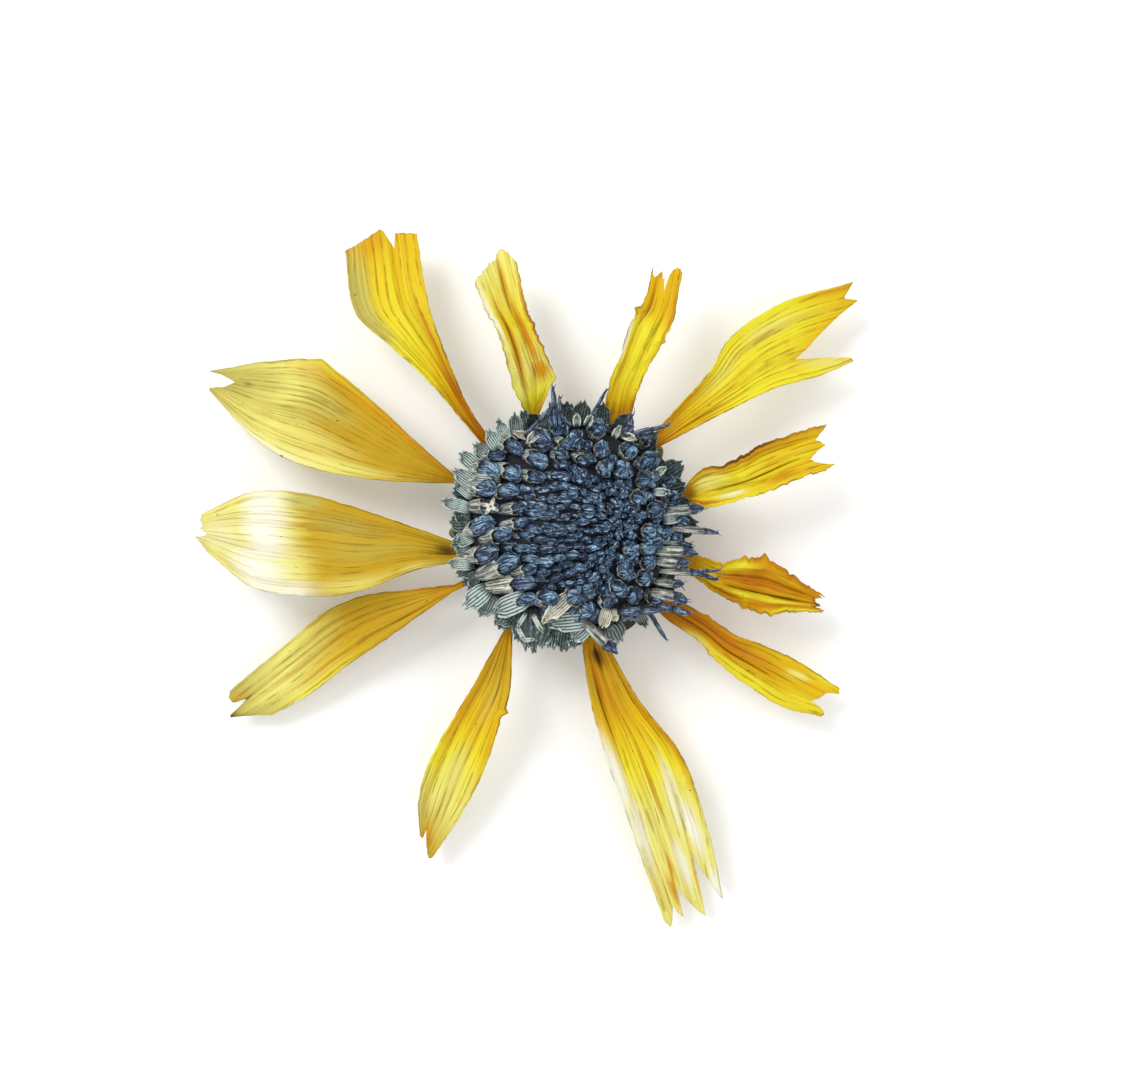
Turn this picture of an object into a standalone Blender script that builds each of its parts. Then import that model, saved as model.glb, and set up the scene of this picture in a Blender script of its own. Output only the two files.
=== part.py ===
"""A dried sunflower head, picked without its stem, lying face up on the cut end of its stalk.

The origin is the centre of the cut, on the table. +Z points up through the disc and +Y is
the top of the picture. Sizes are in millimetres until a mesh is made, in metres.
"""

import math
import random

import bmesh
import bpy
from mathutils import Matrix, Vector, noise

MM = 0.001
GAP = 0.3  # clear space kept between pieces that touch in the real head
SLIVER = 0.001  # edges of a fused body that are shorter than this are closed up

# Receptacle: the stalk's stub, the cup above it and the chaff wall round the disc.
STALK_RADIUS = 4.0
STALK_HEIGHT = 1.8
CUP_FLOOR = 6.0
RIM_RADIUS = 14.5
RIM_EDGE = 0.5
WALL_INNER = 12.7
WALL_OUTER = 13.5
WALL_TOP = 8.0
TURN_STEPS = 36

# Green bracts under the petals, in two whorls, and pale chaff scales on the wall.
# Each whorl of bracts: count, radius and height of the roots, length and half-width.
BRACT_WHORLS = ((13, 7.4, 3.1, 7.4, 2.1), (13, 10.0, 4.3, 5.2, 1.9))
BRACT_THICKNESS = 0.9
CHAFF_COUNT = 34
CHAFF_LENGTH = 2.9
CHAFF_HALF_WIDTH = 1.4
CHAFF_THICKNESS = 0.8
CHAFF_TILT = 29.0  # degrees above the horizon, on average
CHAFF_SWING = 9.0  # how much steeper the scales stand at the left, and flatter at the right
CHAFF_ALTERNATE = 5.0  # how much steeper and flatter neighbours stand in turn
CHAFF_YAW = 0.3  # how far a scale may turn aside, in radians

# Disc: a low dome that carries the florets. They crowd to an off-centre eye, lean to +X and draw
# together towards a meeting point, within whose reach they stand up.
DISC_RADIUS = WALL_INNER - GAP
DISC_FOOT = CUP_FLOOR + GAP
DISC_SHOULDER = 9.0
DISC_CROWN = 12.6
DISC_EYE = Vector((4.2, -0.5, 0.0))
MEETING_POINT = Vector((6.0, -0.5))
MEETING_REACH = 6.0
FLORET_COUNT = 130
FLORET_CROWDING = 0.58  # 0.5 spaces the florets evenly, and more crowds them at the eye
FLORET_REACH = 0.96  # share of the dome's radius that the outermost florets stand on
FLORET_LEAN = 0.25  # slope towards +X that all florets share
FLORET_LEFT = 0.9  # further slope towards +X straight left of the meeting point
FLORET_RIGHT = 0.8  # further slope towards +X at the right edge
FLORET_DRAW = 0.35  # slope in Y towards the meeting point
FLORET_RADIUS = 1.16  # at the disc's edge
FLORET_SWELL = 0.28  # power by which the florets grow from the eye outwards
FLORET_LENGTH = (3.0, 5.0)
FLORET_ROOT = 1.0  # sunk into the dome

# A further row closes the disc's edge, but for its right side. It is shorter and stands steeper.
RIM_COUNT = 21
RIM_FLORET_RADIUS = 1.15
RIM_LENGTH = 3.6
RIM_LEAN = 0.45  # share of the others' lean
RIM_ARC = (math.radians(62.0), math.radians(298.0))
GOLDEN_ANGLE = math.radians(137.508)

# Petals: sheets of this thickness that lie on the rim with their roots against the wall.
BLADE = 0.6
ROOT_RADIUS = WALL_OUTER + GAP
ROOT_HEIGHT = CUP_FLOOR + GAP + BLADE / 2
ROOT_SHARE = 0.84  # width of the root's end, as a share of the width where the petal comes into sight
BLADE_ROWS = (0.0, 0.1, 0.22, 0.36, 0.5, 0.64, 0.77, 0.89, 1.0)
PLEATS = 3
PLEAT_HEIGHT = 0.12
WAVES = 3.0
WAVE_HEIGHT = 0.25

SLATE = (0.045, 0.075, 0.14)
SAGE = (0.16, 0.20, 0.10)
STRAW = (0.42, 0.43, 0.34)

# Each petal's left and right edges at six even stations from root to tip, seen from the head's
# axis, in plan. rise is the midline's height there, and cup lifts the edges over the midline.
# tip gives how far the end stands past the last station, at places from left -1 to right 1.
PETALS = {
    "ray_petal_01": {
        "left": ((-10.75, 10.25), (-14.4, 14.6), (-18.2, 18.9), (-22.6, 22.9), (-26.9, 27.1), (-28.1, 34.6)),
        "right": ((-10.1, 11.1), (-12.8, 15.2), (-14.9, 20.1), (-16.6, 24.5), (-18.0, 29.4), (-19.2, 36.8)),
        "tip": ((-1, 0), (-0.5, 0.5), (0, 1.2), (0.15, 0.9), (0.33, -1), (0.42, 0.4), (0.8, 0.2), (1, 0)),
        "rise": (6.6, 7.2, 7.6, 7.4, 6.6, 5.6),
        "cup": (0.2, 0.8, 0.9, 0.6, 0.3, 0.2),
        "colour": (0.61, 0.38, 0.02),
    },
    "ray_petal_02": {
        "left": ((-5.0, 13.5), (-6.9, 16.9), (-8.0, 21.1), (-9.1, 24.6), (-10.5, 27.0), (-11.9, 30.5)),
        "right": ((-3.9, 14.25), (-2.25, 18.6), (-3.1, 21.6), (-4.5, 24.9), (-5.75, 28.4), (-6.75, 33.25)),
        "tip": ((-1, 0), (-0.65, 0.2), (-0.3, 0.9), (0.0, 1.2), (0.5, 1.8), (0.75, 1.0), (1, 0)),
        "rise": (6.6, 7.6, 8.2, 8.2, 7.6, 7.0),
        "cup": (0.2, 0.6, 0.8, 0.8, 0.7, 0.4),
        "colour": (0.75, 0.4, 0.013),
    },
    "ray_petal_03": {
        "left": ((4.1, 14.0), (4.9, 18.0), (6.25, 21.5), (7.6, 25.75), (8.9, 28.4), (10.25, 32.25)),
        "right": ((7.75, 14.4), (8.4, 17.1), (9.75, 20.1), (11.5, 23.1), (13.0, 26.25), (13.9, 31.9)),
        "tip": ((-1, 0), (-0.7, -0.9), (-0.25, -0.3), (-0.03, -2.3), (0.4, -0.2), (0.7, 0.1), (1, 0)),
        "rise": (6.6, 7.8, 8.8, 9.2, 9.2, 8.8),
        "cup": (0.2, 0.5, 0.6, 0.6, 0.5, 0.3),
        "colour": (0.7, 0.38, 0.01),
    },
    "ray_petal_04": {
        "left": ((10.0, 11.25), (13.9, 15.6), (17.5, 19.6), (20.25, 24.0), (26.4, 28.1), (35.5, 30.9)),
        "right": ((11.0, 10.1), (15.75, 12.6), (21.25, 15.4), (25.75, 17.5), (31.25, 19.1), (35.6, 20.9)),
        "tip": ((-1, 0), (-0.65, -0.8), (-0.5, 0.5), (0, -3.4), (0.42, -7.2), (0.6, -5.2), (0.8, -2), (1, 0)),
        "rise": (6.6, 7.0, 7.0, 6.4, 5.4, 4.4),
        "cup": (0.2, 0.7, 0.8, 0.6, 0.3, 0.1),
        "colour": (0.83, 0.51, 0.01),
    },
    "ray_petal_05": {
        "left": ((14.1, 4.9), (16.5, 7.25), (20.9, 8.5), (23.4, 10.25), (27.5, 11.6), (31.9, 12.9)),
        "right": ((14.5, 3.25), (17.0, 2.5), (21.25, 3.6), (24.6, 4.4), (28.5, 6.25), (31.75, 7.1)),
        "tip": ((-1, 0), (-0.48, -1.1), (-0.1, -0.1), (0.35, -2.1), (0.6, -0.9), (0.83, 1.3), (1, 0)),
        "rise": (6.6, 7.4, 8.0, 8.2, 8.0, 7.6),
        "cup": (0.2, 0.9, 0.8, 0.7, 0.8, 0.6),
        "colour": (0.83, 0.5, 0.03),
    },
    "ray_petal_06": {
        "left": ((15.25, -3.1), (18.25, -4.25), (21.4, -3.9), (24.6, -4.0), (27.9, -6.0), (30.9, -8.0)),
        "right": ((15.4, -6.1), (18.25, -8.1), (21.4, -9.6), (24.4, -10.75), (27.6, -10.6), (31.25, -10.6)),
        "tip": ((-1, 1.0), (-0.7, 0.1), (-0.3, -0.1), (0.1, -0.4), (0.6, -0.1), (1, 0.3)),
        "rise": (6.6, 6.8, 6.8, 6.6, 6.0, 5.2),
        "cup": (0.2, 0.8, 1.0, 1.0, 0.8, 0.4),
        "colour": (0.68, 0.27, 0.007),
    },
    "ray_petal_07": {
        "left": ((13.5, -9.0), (17.1, -11.1), (20.9, -13.5), (24.75, -14.9), (29.0, -17.0), (33.75, -20.1)),
        "right": ((12.3, -11.6), (15.9, -14.0), (18.8, -17.0), (22.5, -19.9), (26.6, -22.4), (31.5, -23.8)),
        "tip": ((-1, 0), (-0.4, -0.9), (0.0, -1.2), (0.3, -1.8), (0.6, -0.3), (1, 0)),
        "rise": (6.6, 6.7, 6.4, 5.6, 4.6, 3.8),
        "cup": (0.2, 0.7, 0.7, 0.5, 0.4, 0.2),
        "colour": (0.68, 0.31, 0.01),
    },
    "ray_petal_08": {
        "left": ((5.0, -15.3), (8.8, -21.8), (13.6, -27.9), (16.0, -33.8), (17.8, -39.6), (19.3, -46.5)),
        "right": ((1.6, -15.5), (2.6, -21.75), (4.25, -27.9), (6.4, -34.0), (8.6, -40.5), (11.9, -49.6)),
        "tip": (
            (-1, 0.2), (-0.8, -1.6), (-0.57, -3.4), (-0.37, -6.0), (-0.3, 1.2),
            (-0.1, 0.4), (0.3, -3.1), (0.42, 0.6), (0.58, -1.2), (0.85, 0.7), (1, 0),
        ),
        "rise": (6.6, 6.6, 6.2, 5.3, 4.0, 2.8),
        "cup": (0.3, 0.9, 0.9, 0.7, 0.5, 0.2),
        "colour": (0.75, 0.46, 0.03),
    },
    "ray_petal_09": {
        "left": ((-7.3, -13.4), (-7.6, -20.5), (-9.0, -25.0), (-10.5, -29.6), (-13.5, -35.8), (-17.4, -41.5)),
        "right": ((-8.5, -13.3), (-11.4, -18.5), (-14.4, -23.5), (-17.5, -29.0), (-19.0, -34.0), (-18.9, -38.8)),
        "tip": ((-1, 0), (-0.7, 0.3), (0.05, -0.2), (0.4, -1.6), (0.7, -0.1), (1, 0)),
        "rise": (6.6, 6.6, 6.0, 5.0, 3.8, 2.8),
        "cup": (0.2, 0.7, 0.7, 0.6, 0.5, 0.3),
        "colour": (0.71, 0.4, 0.045),
    },
    "ray_petal_10": {
        "left": ((-14.8, -8.0), (-19.1, -11.1), (-23.8, -14.4), (-28.6, -17.8), (-33.1, -21.1), (-37.8, -23.6)),
        "right": ((-14.4, -7.1), (-19.8, -7.8), (-26.0, -8.5), (-31.1, -10.8), (-36.3, -15.0), (-42.9, -20.6)),
        "tip": ((-1, 0), (-0.5, 1.4), (0.0, 2.6), (0.14, 1.8), (0.24, -0.3), (0.5, 0.9), (1, 0)),
        "rise": (6.6, 6.0, 4.9, 3.9, 3.0, 2.4),
        "cup": (0.2, 0.5, 0.4, 0.3, 0.3, 0.2),
        "colour": (0.51, 0.31, 0.032),
    },
    "ray_petal_11": {
        "left": ((-14.4, -4.25), (-20.1, -5.5), (-26.5, -8.1), (-33.0, -8.5), (-39.5, -7.4), (-45.4, -3.0)),
        "right": ((-14.1, -1.9), (-20.4, 0.4), (-26.6, 2.5), (-33.0, 4.25), (-39.75, 4.4), (-46.0, 1.75)),
        "tip": ((-1, 0), (-0.75, 0.5), (-0.42, 1.4), (-0.2, 0.3), (-0.03, -0.3), (0.4, 0.1), (1, 0)),
        "rise": (6.6, 7.7, 8.5, 8.5, 7.5, 6.0),
        "cup": (0.3, 0.5, 0.3, 0.1, -0.2, -0.3),
        "colour": (0.58, 0.38, 0.08),
    },
    "ray_petal_12": {
        "left": ((-14.6, 5.6), (-20.75, 5.75), (-27.5, 6.4), (-34.0, 8.0), (-39.6, 11.25), (-45.0, 17.0)),
        "right": ((-14.1, 6.3), (-19.3, 10.8), (-24.4, 15.6), (-31.0, 20.6), (-38.0, 20.8), (-45.3, 19.6)),
        "tip": ((-1, 0.2), (-0.6, 0.1), (-0.2, -0.9), (0.36, -3.3), (0.7, -1.4), (1, 0)),
        "rise": (6.6, 7.2, 7.4, 7.0, 6.0, 5.0),
        "cup": (0.2, 0.5, 0.5, 0.3, 0.1, 0.0),
        "colour": (0.51, 0.33, 0.045),
    },
}

# Withered florets that stick out past the disc's edge: root, tip, radius at each and bow upward.
STRAYS = {
    "top_left_tuft": ((-2.0, 11.2, 11.6), (-2.2, 17.5, 11.6), (0.7, 0.3), 0.3),
    "top_left_prong": ((-1.6, 11.6, 11.6), (-1.1, 16.7, 11.4), (0.6, 0.3), 0.3),
    "top_left_branch": ((-6.0, 10.8, 11.4), (-2.4, 14.8, 11.8), (0.5, 0.4), 0.3),
    "top_tube": ((1.0, 12.0, 11.4), (4.5, 17.0, 11.4), (0.5, 0.45), 0.5),
    "top_right_tube": ((6.4, 10.2, 11.6), (12.3, 12.8, 11.4), (0.6, 0.5), 0.8),
    "top_right_knob": ((6.6, 10.2, 11.4), (7.6, 14.0, 11.8), (0.7, 0.8), 0.2),
    "right_tube_1": ((9.4, 1.8, 11.4), (16.3, 2.5, 11.4), (0.8, 0.7), 0.3),
    "right_tube_2": ((10.0, 0.4, 11.4), (18.3, -0.7, 11.0), (0.8, 0.4), 0.4),
    "right_tube_3": ((9.6, -2.4, 11.2), (15.8, -3.1, 10.8), (0.8, 0.75), 0.2),
    "right_tube_4": ((9.2, -4.0, 11.2), (14.6, -4.3, 10.8), (0.8, 0.7), 0.2),
    "right_fork": ((9.8, -5.5, 11.0), (18.3, -5.9, 10.6), (0.6, 0.35), 0.2),
    "right_tube_5": ((9.0, -6.8, 11.0), (13.9, -7.0, 10.8), (0.7, 0.65), 0.2),
    "lower_right_tube": ((8.4, -7.6, 11.0), (14.4, -9.2, 10.8), (0.75, 0.65), 0.2),
    "lower_right_bundle": ((5.6, -9.4, 11.2), (14.9, -10.3, 11.2), (0.8, 0.5), 0.7),
    "lower_right_thread": ((9.2, -9.2, 11.0), (11.9, -13.9, 11.0), (0.5, 0.3), 0.3),
    "bottom_tube": ((1.8, -11.0, 11.0), (6.0, -15.7, 11.2), (0.8, 0.75), 0.2),
}


def paint(obj, colour, roughness):
    """Gives the object its own matt material."""
    made = bpy.data.materials.new(obj.name)
    made.use_nodes = True
    shader = made.node_tree.nodes["Principled BSDF"]
    shader.inputs["Base Color"].default_value = (*colour, 1.0)
    shader.inputs["Roughness"].default_value = roughness
    shader.inputs["Metallic"].default_value = 0.0
    obj.data.materials.append(made)


def add_object(name, bm, collection, origin=Vector()):
    """Turns bm, in millimetres, into an object in metres that stands at origin."""
    bmesh.ops.translate(bm, vec=-origin, verts=bm.verts)
    bmesh.ops.scale(bm, vec=(MM, MM, MM), verts=bm.verts)
    mesh = bpy.data.meshes.new(name)
    bm.to_mesh(mesh)
    bm.free()
    made = bpy.data.objects.new(name, mesh)
    made.location = origin * MM
    collection.objects.link(made)
    return made


def apply_modifiers(obj):
    graph = bpy.context.evaluated_depsgraph_get()
    mesh = bpy.data.meshes.new_from_object(obj.evaluated_get(graph))
    obj.modifiers.clear()
    obj.data = mesh


def turned(name, outline, collection):
    """A body turned about Z. outline runs down the outside, from the axis to the axis or round a ring."""
    bm = bmesh.new()
    points = [bm.verts.new((r, 0.0, z)) for r, z in outline]
    is_ring = outline[0][0] > 0.0
    for one, other in zip(points, points[1:] + points[:1] * is_ring):
        bm.edges.new((one, other))
    made = add_object(name, bm, collection)
    screw = made.modifiers.new("turn", "SCREW")
    screw.axis = "Z"
    screw.steps = TURN_STEPS
    screw.render_steps = TURN_STEPS
    screw.use_merge_vertices = True
    screw.merge_threshold = 0.00001
    apply_modifiers(made)
    return made


def pod(rows, sides, place, bend=0.0):
    """A closed tapering body. rows are (distance along, half-width, half-thickness), both ends shut.

    bend is how far it turns towards its own +Y by its last row, in radians. place takes it,
    with its length along Z, to where it grows.
    """
    bm = bmesh.new()
    bands = len(rows) - 1
    bmesh.ops.create_uvsphere(bm, u_segments=sides, v_segments=bands, radius=1.0)
    turn = bend / rows[-1][0]
    for vert in bm.verts:
        row = round(bands * math.acos(max(-1.0, min(1.0, -vert.co.z))) / math.pi)
        along, width, thickness = rows[row]
        round_it = math.atan2(vert.co.y, vert.co.x)
        at_pole = row in (0, bands)
        across = 0.0 if at_pole else width * math.cos(round_it)
        out = 0.0 if at_pole else thickness * math.sin(round_it)
        if turn:
            reach = 1.0 / turn - out
            angle = turn * along
            vert.co = (across, 1.0 / turn - reach * math.cos(angle), reach * math.sin(angle))
        else:
            vert.co = (across, out, along)
    bmesh.ops.transform(bm, matrix=place, verts=bm.verts)
    return bm


def facing(point, direction, outward):
    """Places a body at point, its length along direction and its +Y on the outward side."""
    along = direction.normalized()
    side = outward.cross(along).normalized()
    return Matrix.Translation(point) @ Matrix((side, along.cross(side), along)).transposed().to_4x4()


def outer_skin(mesh):
    """Leaves only the mesh's largest shell: sealed pockets between joined pieces are filled."""
    bm = bmesh.new()
    bm.from_mesh(mesh)
    bmesh.ops.remove_doubles(bm, verts=bm.verts, dist=SLIVER * MM)
    bmesh.ops.dissolve_degenerate(bm, edges=bm.edges, dist=SLIVER * MM)
    waiting = set(bm.verts)
    shells = []
    while waiting:
        shell, edge_of_shell = set(), [waiting.pop()]
        while edge_of_shell:
            vert = edge_of_shell.pop()
            shell.add(vert)
            near = {edge.other_vert(vert) for edge in vert.link_edges} & waiting
            waiting -= near
            edge_of_shell.extend(near)
        shells.append(shell)
    largest = max(shells, key=len)
    bmesh.ops.delete(bm, geom=[vert for vert in bm.verts if vert not in largest], context="VERTS")
    bm.to_mesh(mesh)
    bm.free()


def fuse(body, pods):
    """Joins the pods to the body in one Boolean union, and removes them."""
    crowd = bpy.data.collections.new(body.name + "_pods")
    bpy.context.scene.collection.children.link(crowd)
    for number, bm in enumerate(pods):
        add_object(f"{body.name}_pod_{number:03d}", bm, crowd)
    union = body.modifiers.new("union", "BOOLEAN")
    union.operation = "UNION"
    union.operand_type = "COLLECTION"
    union.collection = crowd
    union.solver = "EXACT"
    apply_modifiers(body)
    outer_skin(body.data)
    for obj in list(crowd.objects):
        bpy.data.objects.remove(obj)
    bpy.data.collections.remove(crowd)


def polar(radius, angle, height=0.0):
    return Vector((radius * math.cos(angle), radius * math.sin(angle), height))


def bracts(dice):
    """The green bracts: pointed blades that spread from the cup's underside to below the petals."""
    for whorl, (count, radius, height, length, half_width) in enumerate(BRACT_WHORLS):
        for number in range(count):
            angle = math.tau * (number + whorl / 2) / count + dice.uniform(-0.06, 0.06)
            reach = length * dice.uniform(0.92, 1.05)
            thin = BRACT_THICKNESS / 2
            rows = (
                (-0.6, 0.0, 0.0), (0.25 * reach, half_width, thin),
                (0.65 * reach, 0.75 * half_width, 0.8 * thin), (reach, 0.0, 0.0),
            )
            outward = polar(1.0, angle)
            direction = outward + Vector((0.0, 0.0, 0.12))
            yield pod(rows, 6, facing(polar(radius, angle, height), direction, Vector((0, 0, 1))), 0.08)


def chaff(dice):
    """The pale chaff scales: blunt blades that lean out from the top of the wall."""
    for number in range(CHAFF_COUNT):
        angle = math.tau * number / CHAFF_COUNT + dice.uniform(-0.06, 0.06)
        length = CHAFF_LENGTH * dice.uniform(0.72, 1.12)
        half_width = CHAFF_HALF_WIDTH * dice.uniform(0.8, 1.15)
        tilt = CHAFF_TILT - CHAFF_SWING * math.cos(angle) + CHAFF_ALTERNATE * (-1) ** number
        tilt = math.radians(tilt + dice.uniform(-4.0, 4.0))
        yaw = dice.uniform(-CHAFF_YAW, CHAFF_YAW)
        thin = CHAFF_THICKNESS / 2
        rows = (
            (-0.4, 0.0, 0.0), (0.45 * length, half_width, thin),
            (0.95 * length, 0.8 * half_width, 0.9 * thin), (length, 0.0, 0.0),
        )
        direction = polar(math.cos(tilt), angle + yaw, math.sin(tilt))
        root = polar(WALL_INNER + CHAFF_THICKNESS / 2, angle, WALL_TOP - CHAFF_THICKNESS / 2)
        yield pod(rows, 6, facing(root, direction, Vector((0, 0, 1))))


def receptacle(collection, dice):
    outline = (
        (0.0, CUP_FLOOR), (RIM_RADIUS, CUP_FLOOR), (RIM_RADIUS, CUP_FLOOR - RIM_EDGE), (12.4, 4.3),
        (8.0, 3.0), (STALK_RADIUS + 0.4, STALK_HEIGHT), (STALK_RADIUS, 0.0), (0.0, 0.0),
    )
    made = turned("receptacle", outline, collection)
    fuse(made, bracts(dice))
    return made


def chaff_ring(collection, dice):
    foot = CUP_FLOOR + GAP
    outline = ((WALL_OUTER, WALL_TOP), (WALL_OUTER, foot), (WALL_INNER, foot), (WALL_INNER, WALL_TOP))
    made = turned("chaff_ring", outline, collection)
    fuse(made, chaff(dice))
    return made


def dome_height(radius):
    """The disc's top surface, this far from its axis."""
    return DISC_SHOULDER + (DISC_CROWN - DISC_SHOULDER) * (1.0 - (radius / DISC_RADIUS) ** 2)


def lean_at(place, dice):
    """A floret's direction at its place: right and towards the meeting point, and outward beyond it."""
    toward = MEETING_POINT - place.xy
    near = min(1.0, toward.length / MEETING_REACH)
    toward.normalize()
    left = max(0.0, toward.x) ** 2 * near
    right = max(0.0, (place.x - MEETING_POINT.x) / MEETING_REACH) ** 1.5
    return Vector((
        FLORET_LEAN + FLORET_LEFT * left + FLORET_RIGHT * right + dice.uniform(-0.1, 0.1),
        FLORET_DRAW * toward.y * near + dice.uniform(-0.1, 0.1),
        1.0,
    ))


def floret(place, radius, length, direction):
    """One floret: a blunt five-sided pod that stands on the dome at its place."""
    place.z = dome_height(place.length)
    rows = (
        (-FLORET_ROOT, 0.0, 0.0), (0.1 * length, 0.85 * radius, 0.85 * radius),
        (0.8 * length, radius, radius), (length, 0.0, 0.0),
    )
    return pod(rows, 5, facing(place, direction, Vector((-1.0, 0.0, 0.0))))


def florets(dice):
    """The florets in their spiral, and the row that closes the edge."""
    for number in range(FLORET_COUNT):
        share = ((number + 0.5) / FLORET_COUNT) ** FLORET_CROWDING
        outward = polar(1.0, number * GOLDEN_ANGLE)
        place = DISC_EYE * (1.0 - share) + outward * (DISC_RADIUS * FLORET_REACH * share)
        radius = FLORET_RADIUS * share**FLORET_SWELL
        radius *= (1.0 - 0.16 * outward.x * share) * dice.uniform(0.92, 1.06)
        length = FLORET_LENGTH[0] + (FLORET_LENGTH[1] - FLORET_LENGTH[0]) * share
        yield floret(place, radius, length * dice.uniform(0.86, 1.1), lean_at(place, dice))
    for number in range(RIM_COUNT):
        angle = RIM_ARC[0] + (RIM_ARC[1] - RIM_ARC[0]) * (number + 0.5) / RIM_COUNT
        place = polar(DISC_RADIUS - RIM_FLORET_RADIUS, angle)
        direction = lean_at(place, dice)
        direction.z /= RIM_LEAN
        yield floret(place, RIM_FLORET_RADIUS, RIM_LENGTH * dice.uniform(0.86, 1.1), direction)


def strays():
    """The withered florets: bowed tubes that reach past the disc's edge."""
    for root, tip, radii, bow in STRAYS.values():
        root, tip = Vector(root), Vector(tip)
        length = (tip - root).length
        steps = (0.0, 0.06, 0.35, 0.7, 0.96, 1.0)
        rows = [(length * s, *(radii[0] + (radii[1] - radii[0]) * s,) * 2) for s in steps]
        bm = pod(rows, 5, facing(root, tip - root, Vector((0, 0, 1))))
        for vert in bm.verts:
            share = (vert.co - root).dot(tip - root) / length**2
            vert.co.z += bow * math.sin(math.pi * max(0.0, min(1.0, share)))
        yield bm


def disc(collection, dice):
    crown = [(DISC_RADIUS * s, dome_height(DISC_RADIUS * s)) for s in (0.0, 0.25, 0.5, 0.75, 1.0)]
    outline = [*crown, (DISC_RADIUS, DISC_FOOT), (0.0, DISC_FOOT)]
    made = turned("disc_florets", outline, collection)
    fuse(made, [*florets(dice), *strays()])
    return made


def through(values, share):
    """A smooth curve through evenly spaced values, at a share of the way. Past 1 it runs straight on."""
    last = len(values) - 1
    place = max(0.0, min(1.0, share)) * last
    left = min(int(place), last - 1)
    t = place - left
    before = values[left - 1] if left > 0 else values[0] * 2 - values[1]
    after = values[left + 2] if left < last - 1 else values[last] * 2 - values[last - 1]
    one, other = values[left], values[left + 1]
    bend = before * 2 - one * 5 + other * 4 - after
    swing = one * 3 - before - other * 3 + after
    inside = (one * 2 + (other - before) * t + bend * t**2 + swing * t**3) * 0.5
    return inside + (values[last] - values[last - 1]) * (last * max(0.0, share - 1.0))


def straight(pairs, place):
    """The value at place on a line through pairs of (place, value)."""
    for (one, low), (other, high) in zip(pairs, pairs[1:]):
        if place <= other:
            return low + (high - low) * (place - one) / (other - one)
    return pairs[-1][1]


def petal(name, shape, collection, seed):
    """A petal: a pleated sheet between its two edges, cut to its toothed tip, then thickened."""
    left = [Vector(point) for point in shape["left"]]
    right = [Vector(point) for point in shape["right"]]
    columns = [place for place, _ in shape["tip"]]
    outward = (left[0] + right[0]).normalized()
    root = outward * ROOT_RADIUS
    half_root = Vector((outward.y, -outward.x)) * (right[0] - left[0]).length * ROOT_SHARE / 2
    bm = bmesh.new()
    bmesh.ops.create_grid(bm, x_segments=len(columns) - 1, y_segments=len(BLADE_ROWS), size=1.0)
    for vert in bm.verts:
        column = round((vert.co.x + 1.0) / 2.0 * (len(columns) - 1))
        row = round((vert.co.y + 1.0) / 2.0 * len(BLADE_ROWS))
        across = columns[column]
        if row == 0:
            flat, height = root + half_root * across, ROOT_HEIGHT
        else:
            run = (left[5] - left[0]).length * (1 - across) / 2
            run += (right[5] - right[0]).length * (1 + across) / 2
            share = BLADE_ROWS[row - 1] * (1.0 + straight(shape["tip"], across) / run)
            flat = through(left, share) * (1 - across) / 2 + through(right, share) * (1 + across) / 2
            swell = math.sin(math.pi * min(1.0, 0.1 + 0.85 * share))
            height = through(shape["rise"], share) + through(shape["cup"], share) * across**2
            height += PLEAT_HEIGHT * swell * math.cos(math.pi * PLEATS * across)
            height += WAVE_HEIGHT * swell * noise.noise(Vector((share * WAVES, across, seed)))
        vert.co = (flat.x, flat.y, height)
    bmesh.ops.triangulate(bm, faces=bm.faces)
    made = add_object(name, bm, collection, Vector((root.x, root.y, ROOT_HEIGHT)))
    skin = made.modifiers.new("thickness", "SOLIDIFY")
    skin.thickness = BLADE * MM
    skin.offset = 0.0
    return made


def main():
    for obj in list(bpy.data.objects):
        bpy.data.objects.remove(obj)
    collection = bpy.data.collections.new("dried_sunflower")
    bpy.context.scene.collection.children.link(collection)
    head = bpy.data.objects.new("flower_head", None)
    collection.objects.link(head)
    paint(receptacle(collection, random.Random(11)), SAGE, 0.8)
    paint(chaff_ring(collection, random.Random(17)), STRAW, 0.75)
    paint(disc(collection, random.Random(23)), SLATE, 0.65)
    for seed, (name, shape) in enumerate(PETALS.items()):
        paint(petal(name, shape, collection, seed), shape["colour"], 0.6)
    for obj in collection.objects:
        if obj is not head:
            obj.parent = head


main()
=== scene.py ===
"""A dried sunflower head, dressed petal by petal for a studio shot from straight above.

The tables and the shape functions work in millimetres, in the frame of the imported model: the
origin is the cut end of the stalk and +Z points up through the disc. Meshes are in metres.
Along a petal u runs from 0 at the root to 1 at the tip, and v from -1 at its left edge to 1 at
its right edge, seen from the head's axis.
"""

import math
import random

import bpy
import numpy as np
from bpy.props import FloatProperty, FloatVectorProperty, IntProperty, PointerProperty
from mathutils import Matrix, Vector


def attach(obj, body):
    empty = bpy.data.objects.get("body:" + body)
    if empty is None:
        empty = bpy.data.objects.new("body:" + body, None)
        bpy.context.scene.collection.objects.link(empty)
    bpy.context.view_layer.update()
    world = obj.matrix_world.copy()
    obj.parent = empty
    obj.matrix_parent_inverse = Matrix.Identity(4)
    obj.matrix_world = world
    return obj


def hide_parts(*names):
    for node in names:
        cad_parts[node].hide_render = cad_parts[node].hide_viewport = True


bl_info = {
    "name": "Dried Sunflower Head",
    "version": (1, 0, 0),
    "blender": (4, 5, 0),
    "location": "3D View > Sidebar > Sunflower",
    "description": "Dresses a flower head with veined petals, florets, chaff and bracts, and lights it",
    "category": "Add Mesh",
}

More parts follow.
